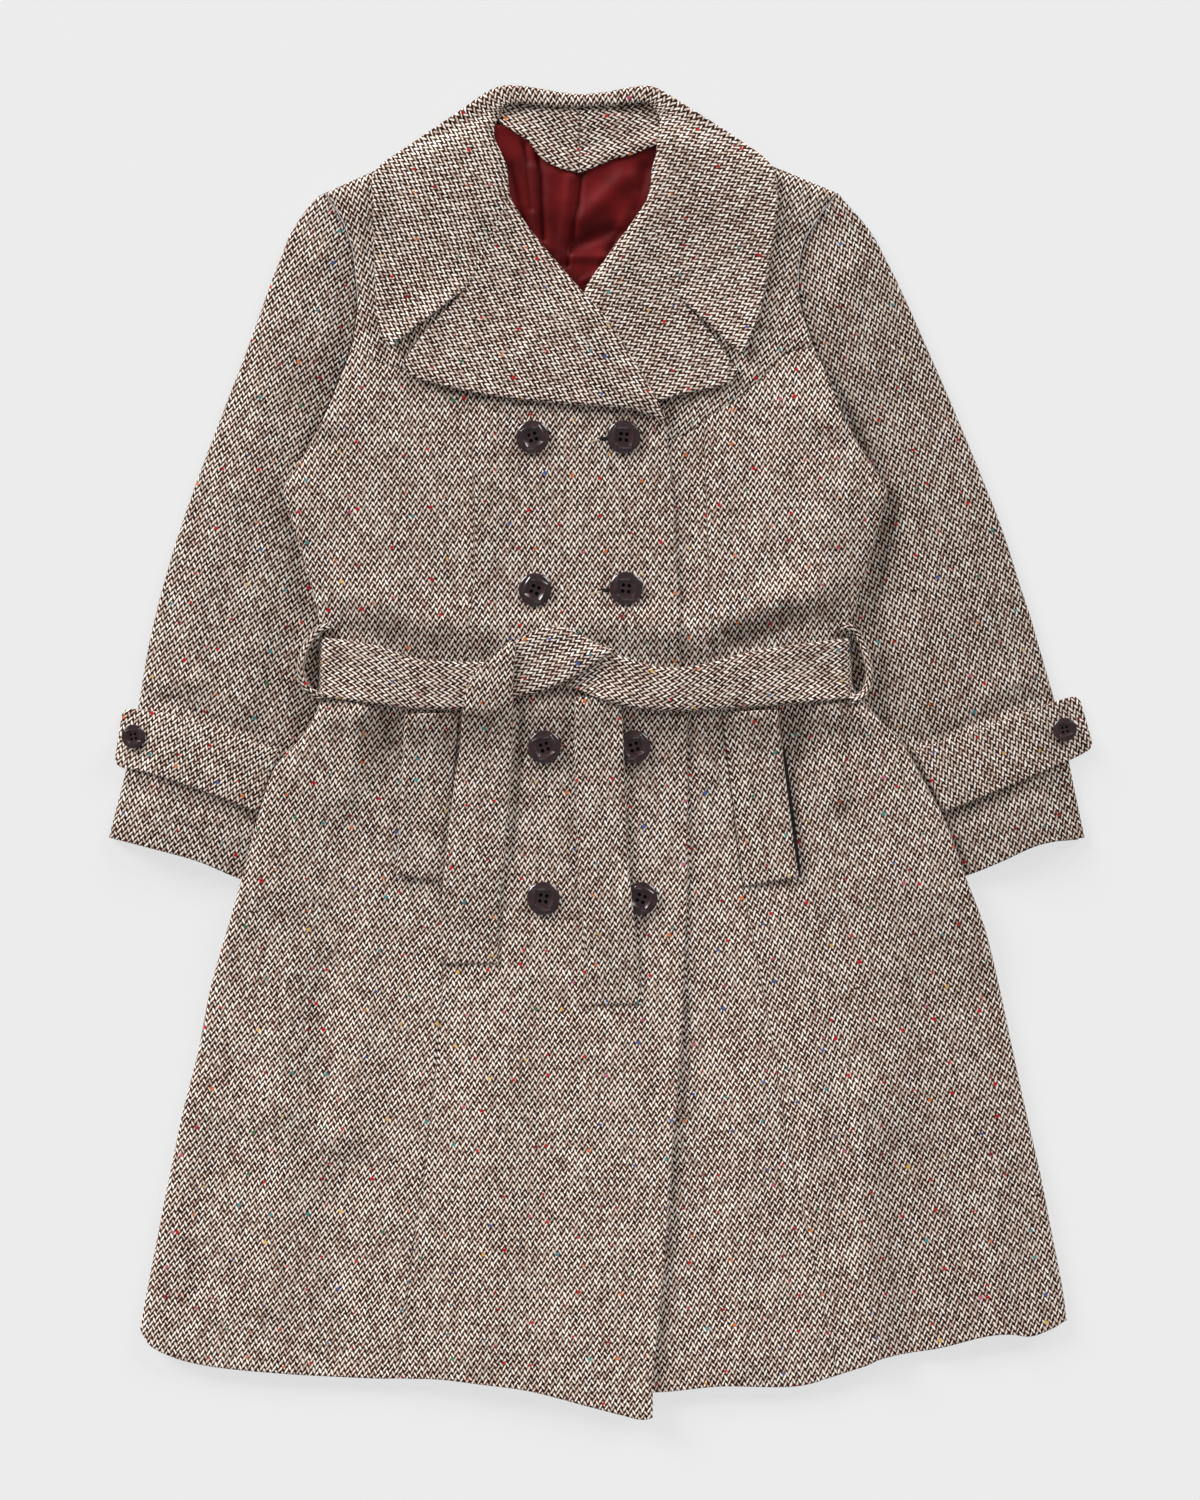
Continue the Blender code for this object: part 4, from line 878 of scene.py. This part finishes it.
def front_heights(plan, over, below):
    """Upper and lower height of a front panel: its folded side, folds, gathers at the belt, lap and seams."""
    x, y = plan[..., 0], plan[..., 1]
    away = inward(x, y)
    base = lift(x, y)
    shoulder = np.minimum(x - side_x("right", y), side_x("left", y) - x)
    # Along the armhole the panel is sewn to the sleeve, so its edge stays up
    sewn = 26 * ramp((y - ARMHOLE_LOW) / 24) * ramp((470 - y) / 20)
    away = np.where(shoulder < away + 0.01, away + sewn, away)
    wave = (folds_at(FRONT_FOLDS, x, y) + ripple(x, y, 1.0)) * ramp(away / ROLL)
    # It is gathered at the belt, blouses over it, and stands fuller beside the left arm
    from_belt = y - np.interp(x, BELT_LINE[:, 0], BELT_LINE[:, 1])
    blouse, rise = (np.interp(x, PUFFS[:, 0], PUFFS[:, k]) for k in (1, 2))
    swell = rise * ramp((from_belt + 64) / 46) * ramp((540 - y) / 320) * ramp(away / 50)
    blouse = blouse * (1 - np.exp(-(np.maximum(from_belt, 0) / 40) ** 3)) * np.exp(-(from_belt / 110) ** 2)
    swell = swell + blouse * ramp(away / 40)
    swell = swell + 4 * ramp((x - 170) / 45) * ramp((y - 120) / 70) * ramp((335 - y) / 70)
    top = base + BULK * (0.5 + 0.5 * quarter(away, 6.0)) + LOFT * quarter(away, ROLL) + wave + swell
    if over:
        # It climbs on the hidden edge of the under-front, and its own free edge lifts toward the hem
        neck = np.interp(y, [267, 344, 394, 428, 473], [-100, -49, -15, 7, 39])
        hidden = np.where(y > 267, neck, smooth(LINES, 3, y))
        top = top + (CLOTH + GAP) * ramp((x - hidden + OVERLAP_STEP + 2) / OVERLAP_STEP)
        free = smooth(LINES, 2, y) - x
        top = top + 3.0 * ramp(1 - free / 22) * ramp((-60 - y) / 260)
    top = top - GROOVE * np.exp(-((shoulder / 10) ** 2)) * ramp((y - GROOVE_LOW) / 40) * ramp((465 - y) / 20)
    low = settle(plan, top - CLOTH, below)
    top = low + CLOTH
    return top, np.where(away < CLOSE[-1] - 0.1, base + BULK / 2 * (1 - quarter(away, 5.0)), low)


def front(side, over, below):
    """The yoke, side panel and centre panel of one front."""
    right = side == "right"
    ends = {
        "right": ((YOKE_SIDE_RIGHT, HEM_SIDE_RIGHT), (YOKE_FRONT_RIGHT, HEM_FRONT_RIGHT)),
        "left": ((YOKE_SIDE_LEFT, HEM_SIDE_LEFT), (YOKE_FRONT_LEFT, HEM_FRONT_LEFT)),
    }[side]
    v = spread(845.0)
    first, last = SIDES[YOKE_ROW, 0], ends[0][1][0 if right else -1][1]
    y = first + v * (last - first)
    edge = np.column_stack([side_x(side, y), y])
    lines = []
    for column, end in ((1, 0), (2, -1)) if right else ((4, -1), (3, 0)):
        first, last = (edge_line[end][1] for edge_line in ends[1])
        y = first + v * (last - first)
        lines.append(np.column_stack([smooth(LINES, column, y), y]))
    seam, free = lines
    names = ("side_" + side, "front_" + side)
    rows = []
    for name, (top_line, hem_line), one, other in zip(names, ends, (edge, seam), (seam, free)):
        a, b = (one, other) if right else (other, one)
        a, b = a.copy(), b.copy()
        a[0], b[0], a[-1], b[-1] = top_line[0], top_line[-1], hem_line[0], hem_line[-1]
        u = spread(float(np.mean(np.linalg.norm(b - a, axis=1))))
        plan = coons(a, b, line(top_line, u), line(hem_line, u), u, v)
        if name.startswith("side"):
            plan[:, -1 if right else 0, 0] -= 0.12 if right else -0.12
        rows.append(plan[0].copy())
        plan[0, :, 1] -= 0.12
        cloth(name, plan, *front_heights(plan, over, below), turn=1.5)
    low_line = np.vstack([rows[0], rows[1][1:]] if right else [rows[1], rows[0][1:]])
    low_line[:, 1] += 0.12
    v = spread(190.0)
    arm = np.column_stack([SIDES[:YOKE_ROW + 1, 1 if right else 2], SIDES[:YOKE_ROW + 1, 0]])
    neck = np.array(NECK_RIGHT if right else NECK_LEFT, float)
    arm, neck = line(arm, v), line(neck, v)
    left, other = (arm, neck) if right else (neck, arm)
    run = lengths(low_line)
    u = spread(float(run[-1]))
    bottom = np.column_stack([np.interp(u * run[-1], run, low_line[:, k]) for k in (0, 1)])
    left[-1], other[-1] = bottom[0], bottom[-1]
    plan = coons(left, other, line([left[0], other[0]], u), bottom, u, v)
    cloth("yoke_" + side, plan, *front_heights(plan, over, below), turn=1.5)


def lapel(side, notch, gorge, roll, low_line, below):
    """A lapel turned back over its front; its roll is round and its free edge lies a little proud."""
    v, u = spread(190.0, 4.0), spread(120.0, 4.0)
    outer, inner = line(notch, v), line(roll, v)
    gorge_line, low_points = line(gorge, u), line(low_line, u)
    if side == "right":
        plan = coons(outer, inner, gorge_line[::-1], low_points, u, v)
    else:
        plan = coons(inner, outer, gorge_line, low_points, u, v)
    sides = to_edges(plan)
    from_roll = sides[1] if side == "right" else sides[0]
    low = drape(plan, below)
    # The free edges lie proud of the front, and the roll is a round crown
    proud = 1.2 * ramp(1 - sides[3] / 24) + 1.4 * ramp(1 - (sides[0] if side == "right" else sides[1]) / 20)
    crown = 2.4 * ramp(from_roll / 9) * ramp(1 - (from_roll - 9) / 45) - 2.2 * (1 - quarter(from_roll, 9.0))
    x, y = plan[..., 0], plan[..., 1]
    high = low + DOUBLE + proud + crown + 0.6 * ripple(x, y, 5.0)
    flush = 0.7 * ramp(1.4 - sides[2] / 3)
    cloth("lapel_" + side, plan, high, np.maximum(low, high - DOUBLE), turn=2.2, flush=flush)


def collar(below):
    """Both wings and the roll at the back of the neck, section by section."""
    count = len(COLLAR)
    middle = (COLLAR[:, :2] + COLLAR[:, 2:4]) / 2
    run = lengths(middle)
    v = spread(run[-1], 3.5)
    rows = np.interp(v * run[-1], run, np.arange(count))
    fine = through(COLLAR, rows)
    u = spread(110.0, 4.0)
    # Sections from the roll to the outer edge; the weave turns from each to the next
    plan, uv = [], []
    origin = np.zeros(2)
    last = None
    for x0, y0, x1, y1, bow, grain in fine:
        start, across = np.array([x0, y0]), np.array([x1 - x0, y1 - y0])
        normal = np.array([-across[1], across[0]]) / np.linalg.norm(across)
        section = start + across * u[:, None] + normal * bow * (1 - np.abs(2 * u - 1))[:, None]
        centre = start + across / 2
        c, s = math.cos(math.radians(grain)), math.sin(math.radians(grain))
        turn = np.array([[s, -c], [c, s]])
        if last is not None:
            origin = origin + turn @ (centre - last)
        last = centre
        plan.append(section)
        uv.append(origin + (section - centre) @ turn.T)
    plan, uv = np.array(plan), np.array(uv) * MM
    sides = to_edges(plan)
    low = drape(plan, below, 80)
    # The wings: a round crown at the roll, and free edges that lie proud
    back_share = (ramp((rows - 5) / 2.5) * ramp((17.5 - rows) / 2.5))[:, None]
    crown = 2.6 * ramp(sides[0] / 10) * ramp(1 - (sides[0] - 10) / 60) - 3.6 * (1 - quarter(sides[0], 13.0))
    from_end = np.minimum(sides[2], sides[3])
    sewn = 1 - ramp((u[None, :] - 0.46) / 0.1)
    proud = 2.4 * ramp(1 - sides[1] / 20) + 3.0 * ramp(1 - from_end / 18) * (1 - sewn)
    high = low + DOUBLE + crown + (1 - back_share) * proud + 0.6 * ripple(plan[..., 0], plan[..., 1], 6.0)
    # Each wing meets its lapel at the gorge seam
    for name, end, near in (("lapel_right", 0, 1), ("lapel_left", -1, -2)):
        out = plan[end] - plan[near]
        spot = plan[end] + 3.0 * out / np.linalg.norm(out, axis=1)[:, None]
        level = top_of([name], spot[None, :, 0], spot[None, :, 1])[0]
        step = np.where(level > 0, level - high[end], 0.0) * sewn[0]
        high = high + step[None, :] * ramp(1 - sides[2 if end == 0 else 3] / 25)
    # Behind the neck the collar rolls over the facing and turns down at its fold
    spots = np.array([[-60.0, CENTRE_BACK, 20.0]])
    crest = top_of(["neck_facing"], spots, np.full((1, 3), 552.0)).max() + DOUBLE + 1.5
    rolled = crest - 2.0 * (1 - quarter(sides[0], 6.0)) - (crest - 4.5) * (1 - quarter(sides[1], 5.0))
    high = high + back_share * (np.maximum(rolled, low + 1.5) - high)
    bottom = np.maximum(np.minimum(low, high - 0.6), high - DOUBLE)
    cloth("collar", plan, high, bottom, uv=uv, turn=2.2, flush=0.7 * sewn * ramp(1.4 - from_end / 3))


def band(name, table, below, along_y, turned=False, grain=None):
    """A stretch of the belt; one end may turn down round the coat's side."""
    fine = through(table, np.linspace(0, len(table) - 1, 400))
    run = lengths(np.column_stack([fine[:, 0], fine[:, 1:].mean(axis=1)]))
    v = spread(run[-1], 3.5)
    fine = np.column_stack([np.interp(v * run[-1], run, fine[:, k]) for k in range(3)])
    pick = [(1, 0), (2, 0)] if along_y else [(0, 1), (0, 2)]
    one, other = fine[:, pick[0]], fine[:, pick[1]]
    u = spread(float(np.mean(np.linalg.norm(one - other, axis=1))), 3.5)[None, :, None]
    plan = one[:, None] * (1 - u) + other[:, None] * u
    x, y = plan[..., 0], plan[..., 1]
    low = drape(plan, below, 40)
    sides = to_edges(plan)
    if turned:
        low = 2.0 + (low - 2.0) * quarter(sides[2], 7.0)
    puff = quarter(np.minimum(sides[0], sides[1]), 12.0)
    # A tail lies flatter toward its end
    thin = 1 - 0.72 * ramp(1 - sides[3] / 80) if along_y else 1.0
    high = low + (DOUBLE + 0.2 + puff) * thin + 0.4 * ripple(x * 1.7, y * 1.7, 7.0)
    uv = strip_uv(plan) if grain is None else grain_uv(plan, grain)
    cloth(name, plan, high, low, uv=uv, turn=2.2)


def loop(name, route, below):
    """A belt loop that stands on its edge round the belt's end."""
    v = spread(78.0, 2.5)
    path = line(route, v)
    run = np.gradient(path, axis=0)
    normal = np.column_stack([-run[:, 1], run[:, 0]]) / np.linalg.norm(run, axis=1)[:, None]
    u = np.linspace(-0.5, 0.5, 9)[None, :, None]
    plan = path[:, None] + normal[:, None] * LOOP_WIDTH * u
    stand = 7.0 * np.sin(np.pi * v)[:, None] ** 0.7
    low = drape(plan, below, 30)
    cloth(name, plan, low + 3.4 + stand, low, uv=strip_uv(plan), turn=1.8, cut=LOOP_CUT)


def flap(name, edges, below, thickness, rounded=0.0, proud=0.0, sewn=False):
    """A welt or tab between two edges; its free end may be rounded, and its first edge may be sewn down."""
    v = spread(float(lengths(np.array(edges[0], float))[-1]), 4.0)
    one, other = line(edges[0], v), line(edges[1], v)
    u = spread(float(np.mean(np.linalg.norm(one - other, axis=1))), 4.0)[None, :, None]
    plan = one[:, None] * (1 - u) + other[:, None] * u
    if rounded:
        sides = to_edges(plan)
        near = np.minimum(sides[0], sides[1])
        cut = rounded * (1 - quarter(near, rounded)) * ramp(1 - sides[2] / (2 * rounded))
        inward_step = plan[1:2] - plan[:1]
        inward_step = inward_step / np.linalg.norm(inward_step, axis=2, keepdims=True)
        plan = plan + inward_step * cut[..., None]
    sides = to_edges(plan)
    low = drape(plan, below, 40) + proud * ramp(1 - sides[1] / 16) * ramp(sides[2] / 30)
    x, y = plan[..., 0], plan[..., 1]
    thickness = thickness * (0.2 + 0.8 * ramp(sides[0] / 16)) if sewn else thickness
    cloth(name, plan, low + thickness + 0.4 * ripple(x, y, 3.0), low, turn=1.8)


def opening(name, route, below):
    """The mouth of a pocket: a narrow near-black strip beside the welt, painted shade in the opening."""
    v = spread(115.0, 3.0)
    path = line(route, v)
    half = 1.9 * (0.2 + 0.8 * np.sin(np.pi * v) ** 0.5)
    plan = path[:, None] + np.linspace(-1, 1, 5)[None, :, None] * half[:, None, None] * np.array([1.0, 0.12])
    high = top_of(below, plan[..., 0], plan[..., 1]) + 0.3
    points, faces, _, _ = surface(plan, high, high - 0.5, np.zeros(plan.shape), 0.4)
    mesh = mesh_of(name, points, faces)
    mesh.materials.append(dark_thread_and_painted_shade)
    set_down(name, mesh)


def button_form(radius, height):
    """A coat button modelled from a disc: a raised round rim, a stepped well and four holes."""
    bpy.ops.object.select_all(action="DESELECT")
    middle = (0, 0, 0.35 * height)
    bpy.ops.mesh.primitive_cylinder_add(vertices=64, radius=radius, depth=0.7 * height, location=middle)
    bpy.ops.object.transform_apply(location=True, rotation=True, scale=True)
    form = bpy.context.object
    bpy.ops.object.mode_set(mode="EDIT")
    bpy.ops.mesh.select_mode(type="FACE")
    bpy.ops.mesh.select_all(action="DESELECT")
    bpy.ops.object.mode_set(mode="OBJECT")
    for face in form.data.polygons:
        face.select = face.normal.z > 0.9
    bpy.ops.object.mode_set(mode="EDIT")
    # From the rim inwards: inset and rise, as shares of the radius and the height
    steps = ((0.07, 0.15), (0.17, 0.0), (0.08, 0.16), (0.05, 0.0), (0.10, -0.2), (0.03, 0.0), (0.03, -0.2))
    for inset, rise in steps:
        bpy.ops.mesh.inset(thickness=inset * radius, depth=0)
        bpy.ops.transform.translate(value=(0, 0, rise * height))
    bpy.ops.object.mode_set(mode="OBJECT")
    # The rings of the well are squared a little
    rings = {}
    near = 0.012 * radius
    for ring in (0.76, 0.68, 0.63, 0.53, 0.50, 0.47):
        rings[ring] = [v.index for v in form.data.vertices if abs(v.co.xy.length - ring * radius) < near]
    for ring, points in rings.items():
        name = "ring_%d" % round(100 * ring)
        form.vertex_groups.new(name=name).add(points, 1.0, "ADD")
        square = form.modifiers.new("square", "CAST")
        square.cast_type = "CUBOID"
        square.factor = 0.55
        square.use_z = False
        square.use_radius_as_size = False
        square.size = 0.9 * ring * radius
        square.vertex_group = name
        bpy.ops.object.modifier_apply(modifier="square")
    soft = form.modifiers.new("soft", "BEVEL")
    soft.width = 0.025 * radius
    soft.segments = 3
    soft.limit_method = "ANGLE"
    soft.angle_limit = math.radians(20)
    bpy.ops.object.modifier_apply(modifier="soft")
    # Four holes, near black inside: partly the dark thread in them, partly painted shade in the holes
    drills = []
    for k in range(4):
        angle = math.pi / 4 + k * math.pi / 2
        bpy.ops.object.select_all(action="DESELECT")
        spot = (0.255 * radius * math.cos(angle), 0.255 * radius * math.sin(angle), 0.7 * height)
        bpy.ops.mesh.primitive_cylinder_add(
            vertices=20, radius=0.115 * radius, depth=1.2 * height, location=spot)
        drills.append(bpy.context.object)
    for drill in drills:
        bpy.context.view_layer.objects.active = form
        hole = form.modifiers.new("hole", "BOOLEAN")
        hole.object = drill
        hole.solver = "EXACT"
        bpy.ops.object.modifier_apply(modifier="hole")
        bpy.data.objects.remove(drill, do_unlink=True)
    bpy.ops.object.select_all(action="DESELECT")
    form.select_set(True)
    bpy.ops.object.shade_smooth_by_angle(angle=math.radians(35))
    form.data.materials.clear()
    form.data.materials.append(resin)
    form.data.materials.append(dark_thread_and_painted_shade)
    for face in form.data.polygons:
        x, y, z = face.center
        in_hole = math.hypot(abs(x) - 0.18 * radius, abs(y) - 0.18 * radius) < 0.125 * radius
        if in_hole and 0.05 * height < z < 0.46 * height:
            face.material_index = 1
    return form


def put_button(name, form, place, turn):
    """A copy of a button form with its own mesh, turned a little and set on the cloth."""
    x, y = place
    spots = np.array([(x, y)] + [(x + 9 * math.cos(a), y + 9 * math.sin(a)) for a in np.linspace(0, 6, 9)])
    below = [n for n in made if n.startswith(("front", "tab", "yoke"))]
    base = top_of(below, spots[:, 0], spots[:, 1]).max() + 0.1
    mesh = form.data.copy()
    c, s = math.cos(turn), math.sin(turn)
    for vertex in mesh.vertices:
        px, py, pz = vertex.co
        vertex.co = (x * MM + c * px - s * py, y * MM + s * px + c * py, base * MM + pz)
    set_down(name + "_turned", mesh, name)
    remember(name, np.array([v.co for v in mesh.vertices]), [tuple(p.vertices) for p in mesh.polygons])


def buttonhole(name, place):
    """A worked buttonhole beside a button: its slit, a near-black sheet that paints the shade in the opening,
    and the pale bar tack at its far end.
    """
    x, y = place
    spots = np.array([(x - k, y - 2.0) for k in (14, 17, 20, 24, 28)])
    base = top_of(["front_right"], spots[:, 0], spots[:, 1]).max() * MM
    bpy.ops.object.select_all(action="DESELECT")
    spot = ((x - 17) * MM, (y - 1.6) * MM, base)
    bpy.ops.mesh.primitive_uv_sphere_add(segments=24, ring_count=10, radius=MM, location=spot)
    slit = bpy.context.object
    bpy.ops.transform.resize(value=(6.0, 1.7, 0.45))
    slit.data.materials.append(dark_thread_and_painted_shade)
    bpy.ops.object.transform_apply(location=True, rotation=True, scale=True)
    bpy.ops.object.select_all(action="DESELECT")
    spot = ((x - 26) * MM, (y - 3.6) * MM, base)
    bpy.ops.mesh.primitive_cone_add(
        vertices=16, radius1=1.1 * MM, radius2=0.35 * MM, depth=11 * MM, location=spot,
        rotation=(0, -math.pi / 2, 0.2))
    tack = bpy.context.object
    tack.data.materials.append(linen)
    bpy.ops.object.transform_apply(location=True, rotation=True, scale=True)
    slit.select_set(True)
    bpy.context.view_layer.objects.active = slit
    bpy.ops.object.join()
    slit.name = name
    bpy.ops.object.shade_smooth()
    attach(slit, "root")


FOCAL, SENSOR = 135, 36
FRAME_HEIGHT = 1.290  # what the picture takes in, at the level of the cloth
SOFTNESS = 26  # width of each lamp, in degrees
# Lamps set low beyond the collar's two sides, and a weak one beyond the hem: name, where it stands, strength
LAMPS = [
    ("lamp_upper_left", (-0.8, 0.75, 0.42), 3.6),
    ("lamp_upper_right", (0.8, 0.8, 0.44), 1.9),
    ("lamp_hem", (0.0, -1.0, 0.7), 0.15),
]


def studio():
    """A pale table lit a little from below, three low lamps, and a bright even room."""
    bpy.ops.object.select_all(action="DESELECT")
    bpy.ops.mesh.primitive_plane_add(size=24.0, location=(0, 0, -0.0004))
    floor = bpy.context.object
    floor.name = "floor"
    # Paper rolled smooth and matt, lit through: an even pale ground with only a soft shadow
    paper = shader(
        "pale_paper_rolled_matt", Base_Color=hex_colour("747474"), Roughness=0.9, Specular_IOR_Level=0.1,
        Emission_Color=(1, 1, 1, 1), Emission_Strength=0.67)[0]
    floor.data.materials.append(paper)
    for name, toward, strength in LAMPS:
        lamp = bpy.data.objects.new(name, bpy.data.lights.new(name, "SUN"))
        lamp.data.energy = strength
        lamp.data.angle = math.radians(SOFTNESS)
        lamp.rotation_euler = Vector(toward).to_track_quat("Z", "Y").to_euler()
        bpy.context.scene.collection.objects.link(lamp)
    room = bpy.data.worlds.new("room")
    room.use_nodes = True
    room.node_tree.nodes["Background"].inputs[0].default_value = (1, 1, 1, 1)
    room.node_tree.nodes["Background"].inputs[1].default_value = 0.30
    bpy.context.scene.world = room
    camera = bpy.data.objects.new("camera", bpy.data.cameras.new("camera"))
    camera.data.lens = FOCAL
    camera.location = (-0.0013, 0.0004, 0.008 + FRAME_HEIGHT * FOCAL / SENSOR)
    bpy.context.scene.collection.objects.link(camera)
    bpy.context.scene.camera = camera
    bpy.context.scene.view_settings.view_transform = "Standard"


tweed = make_tweed()
satin = make_satin()
resin = make_resin()
# Waxed linen thread: the pale dull tack at the end of a buttonhole
linen = shader("linen_thread_waxed_pale", Base_Color=hex_colour("c3ad93"), Roughness=0.8)[0]
# Near black: twisted dark thread in the button holes, partly painted shade there, and painted shade in the
# buttonhole slits and the pocket's mouth
dark_thread_and_painted_shade = shader("polyester_thread_dark_and_painted_shade", Base_Color=hex_colour("120b0b"), Roughness=0.9)[0]
studio()

sleeve("right", SLEEVE_RIGHT, CUFF_RIGHT, 1)
sleeve("left", SLEEVE_LEFT, CUFF_LEFT, -1)
collar_fall()
belt_back()
back()
lining()
neck_facing()
sleeves = ["top_sleeve_right", "top_sleeve_left"]
inside = sleeves + ["back", "lining", "neck_facing"]
front("left", False, inside)
left_front = ["yoke_left", "front_left", "side_left"]
front("right", True, inside + left_front)
fronts = left_front + ["yoke_right", "front_right", "side_right"]
lapel("left", NOTCH_LEFT, GORGE_LEFT, ROLL_LEFT, LAPEL_LOW_LEFT, fronts + ["lining"])
lapel("right", NOTCH_RIGHT, GORGE_RIGHT, ROLL_RIGHT, LAPEL_LOW_RIGHT, fronts + ["lining", "lapel_left"])
collar(fronts + sleeves + ["back", "collar_fall", "neck_facing", "lining"])

flap("welt_right", WELT_RIGHT, fronts, DOUBLE, proud=1.5, sewn=True)
flap("welt_left", WELT_LEFT, fronts, DOUBLE, proud=2.2, sewn=True)
flap("tab_right", TAB_RIGHT, sleeves + ["side_right"], 2.6, rounded=7.0)
flap("tab_left", TAB_LEFT, sleeves + ["side_left"], 2.6, rounded=7.0, proud=0.2)

opening("pocket_mouth_left", MOUTH_LEFT, fronts)

coat_button = button_form(*COAT_BUTTON)
cuff_button = button_form(*CUFF_BUTTON)
names = [f"button_{n + 1}" for n in range(len(BUTTONS))]
for n, (name, place) in enumerate(zip(names, BUTTONS)):
    put_button(name, coat_button, place, 0.4 * math.sin(5.0 * n + 1))
for name, place in TAB_BUTTONS.items():
    put_button(name, cuff_button, place, 0.2)
for form in (coat_button, cuff_button):
    bpy.data.objects.remove(form, do_unlink=True)

for number in (2, 4):
    buttonhole(f"buttonhole_{number}", BUTTONS[number - 1])

on_coat = fronts + ["welt_right", "welt_left"]
band("tail_short", TAIL_SHORT, on_coat + names, True, grain=92)
band("belt_left", BELT_LEFT, on_coat + names + ["tail_short"], False, turned=True)
band("belt_right", BELT_RIGHT, on_coat, False, turned=True)
band("belt_wrap", BELT_WRAP, on_coat + ["belt_left", "belt_right", "tail_short"], False, grain=27.5)
band("tail_long", TAIL_LONG, on_coat + ["belt_right", "belt_wrap"], True, grain=83.5)
loop("loop_right", LOOP_RIGHT, sleeves + fronts + ["belt_right"])
loop("loop_left", LOOP_LEFT, sleeves + fronts + ["belt_left"])
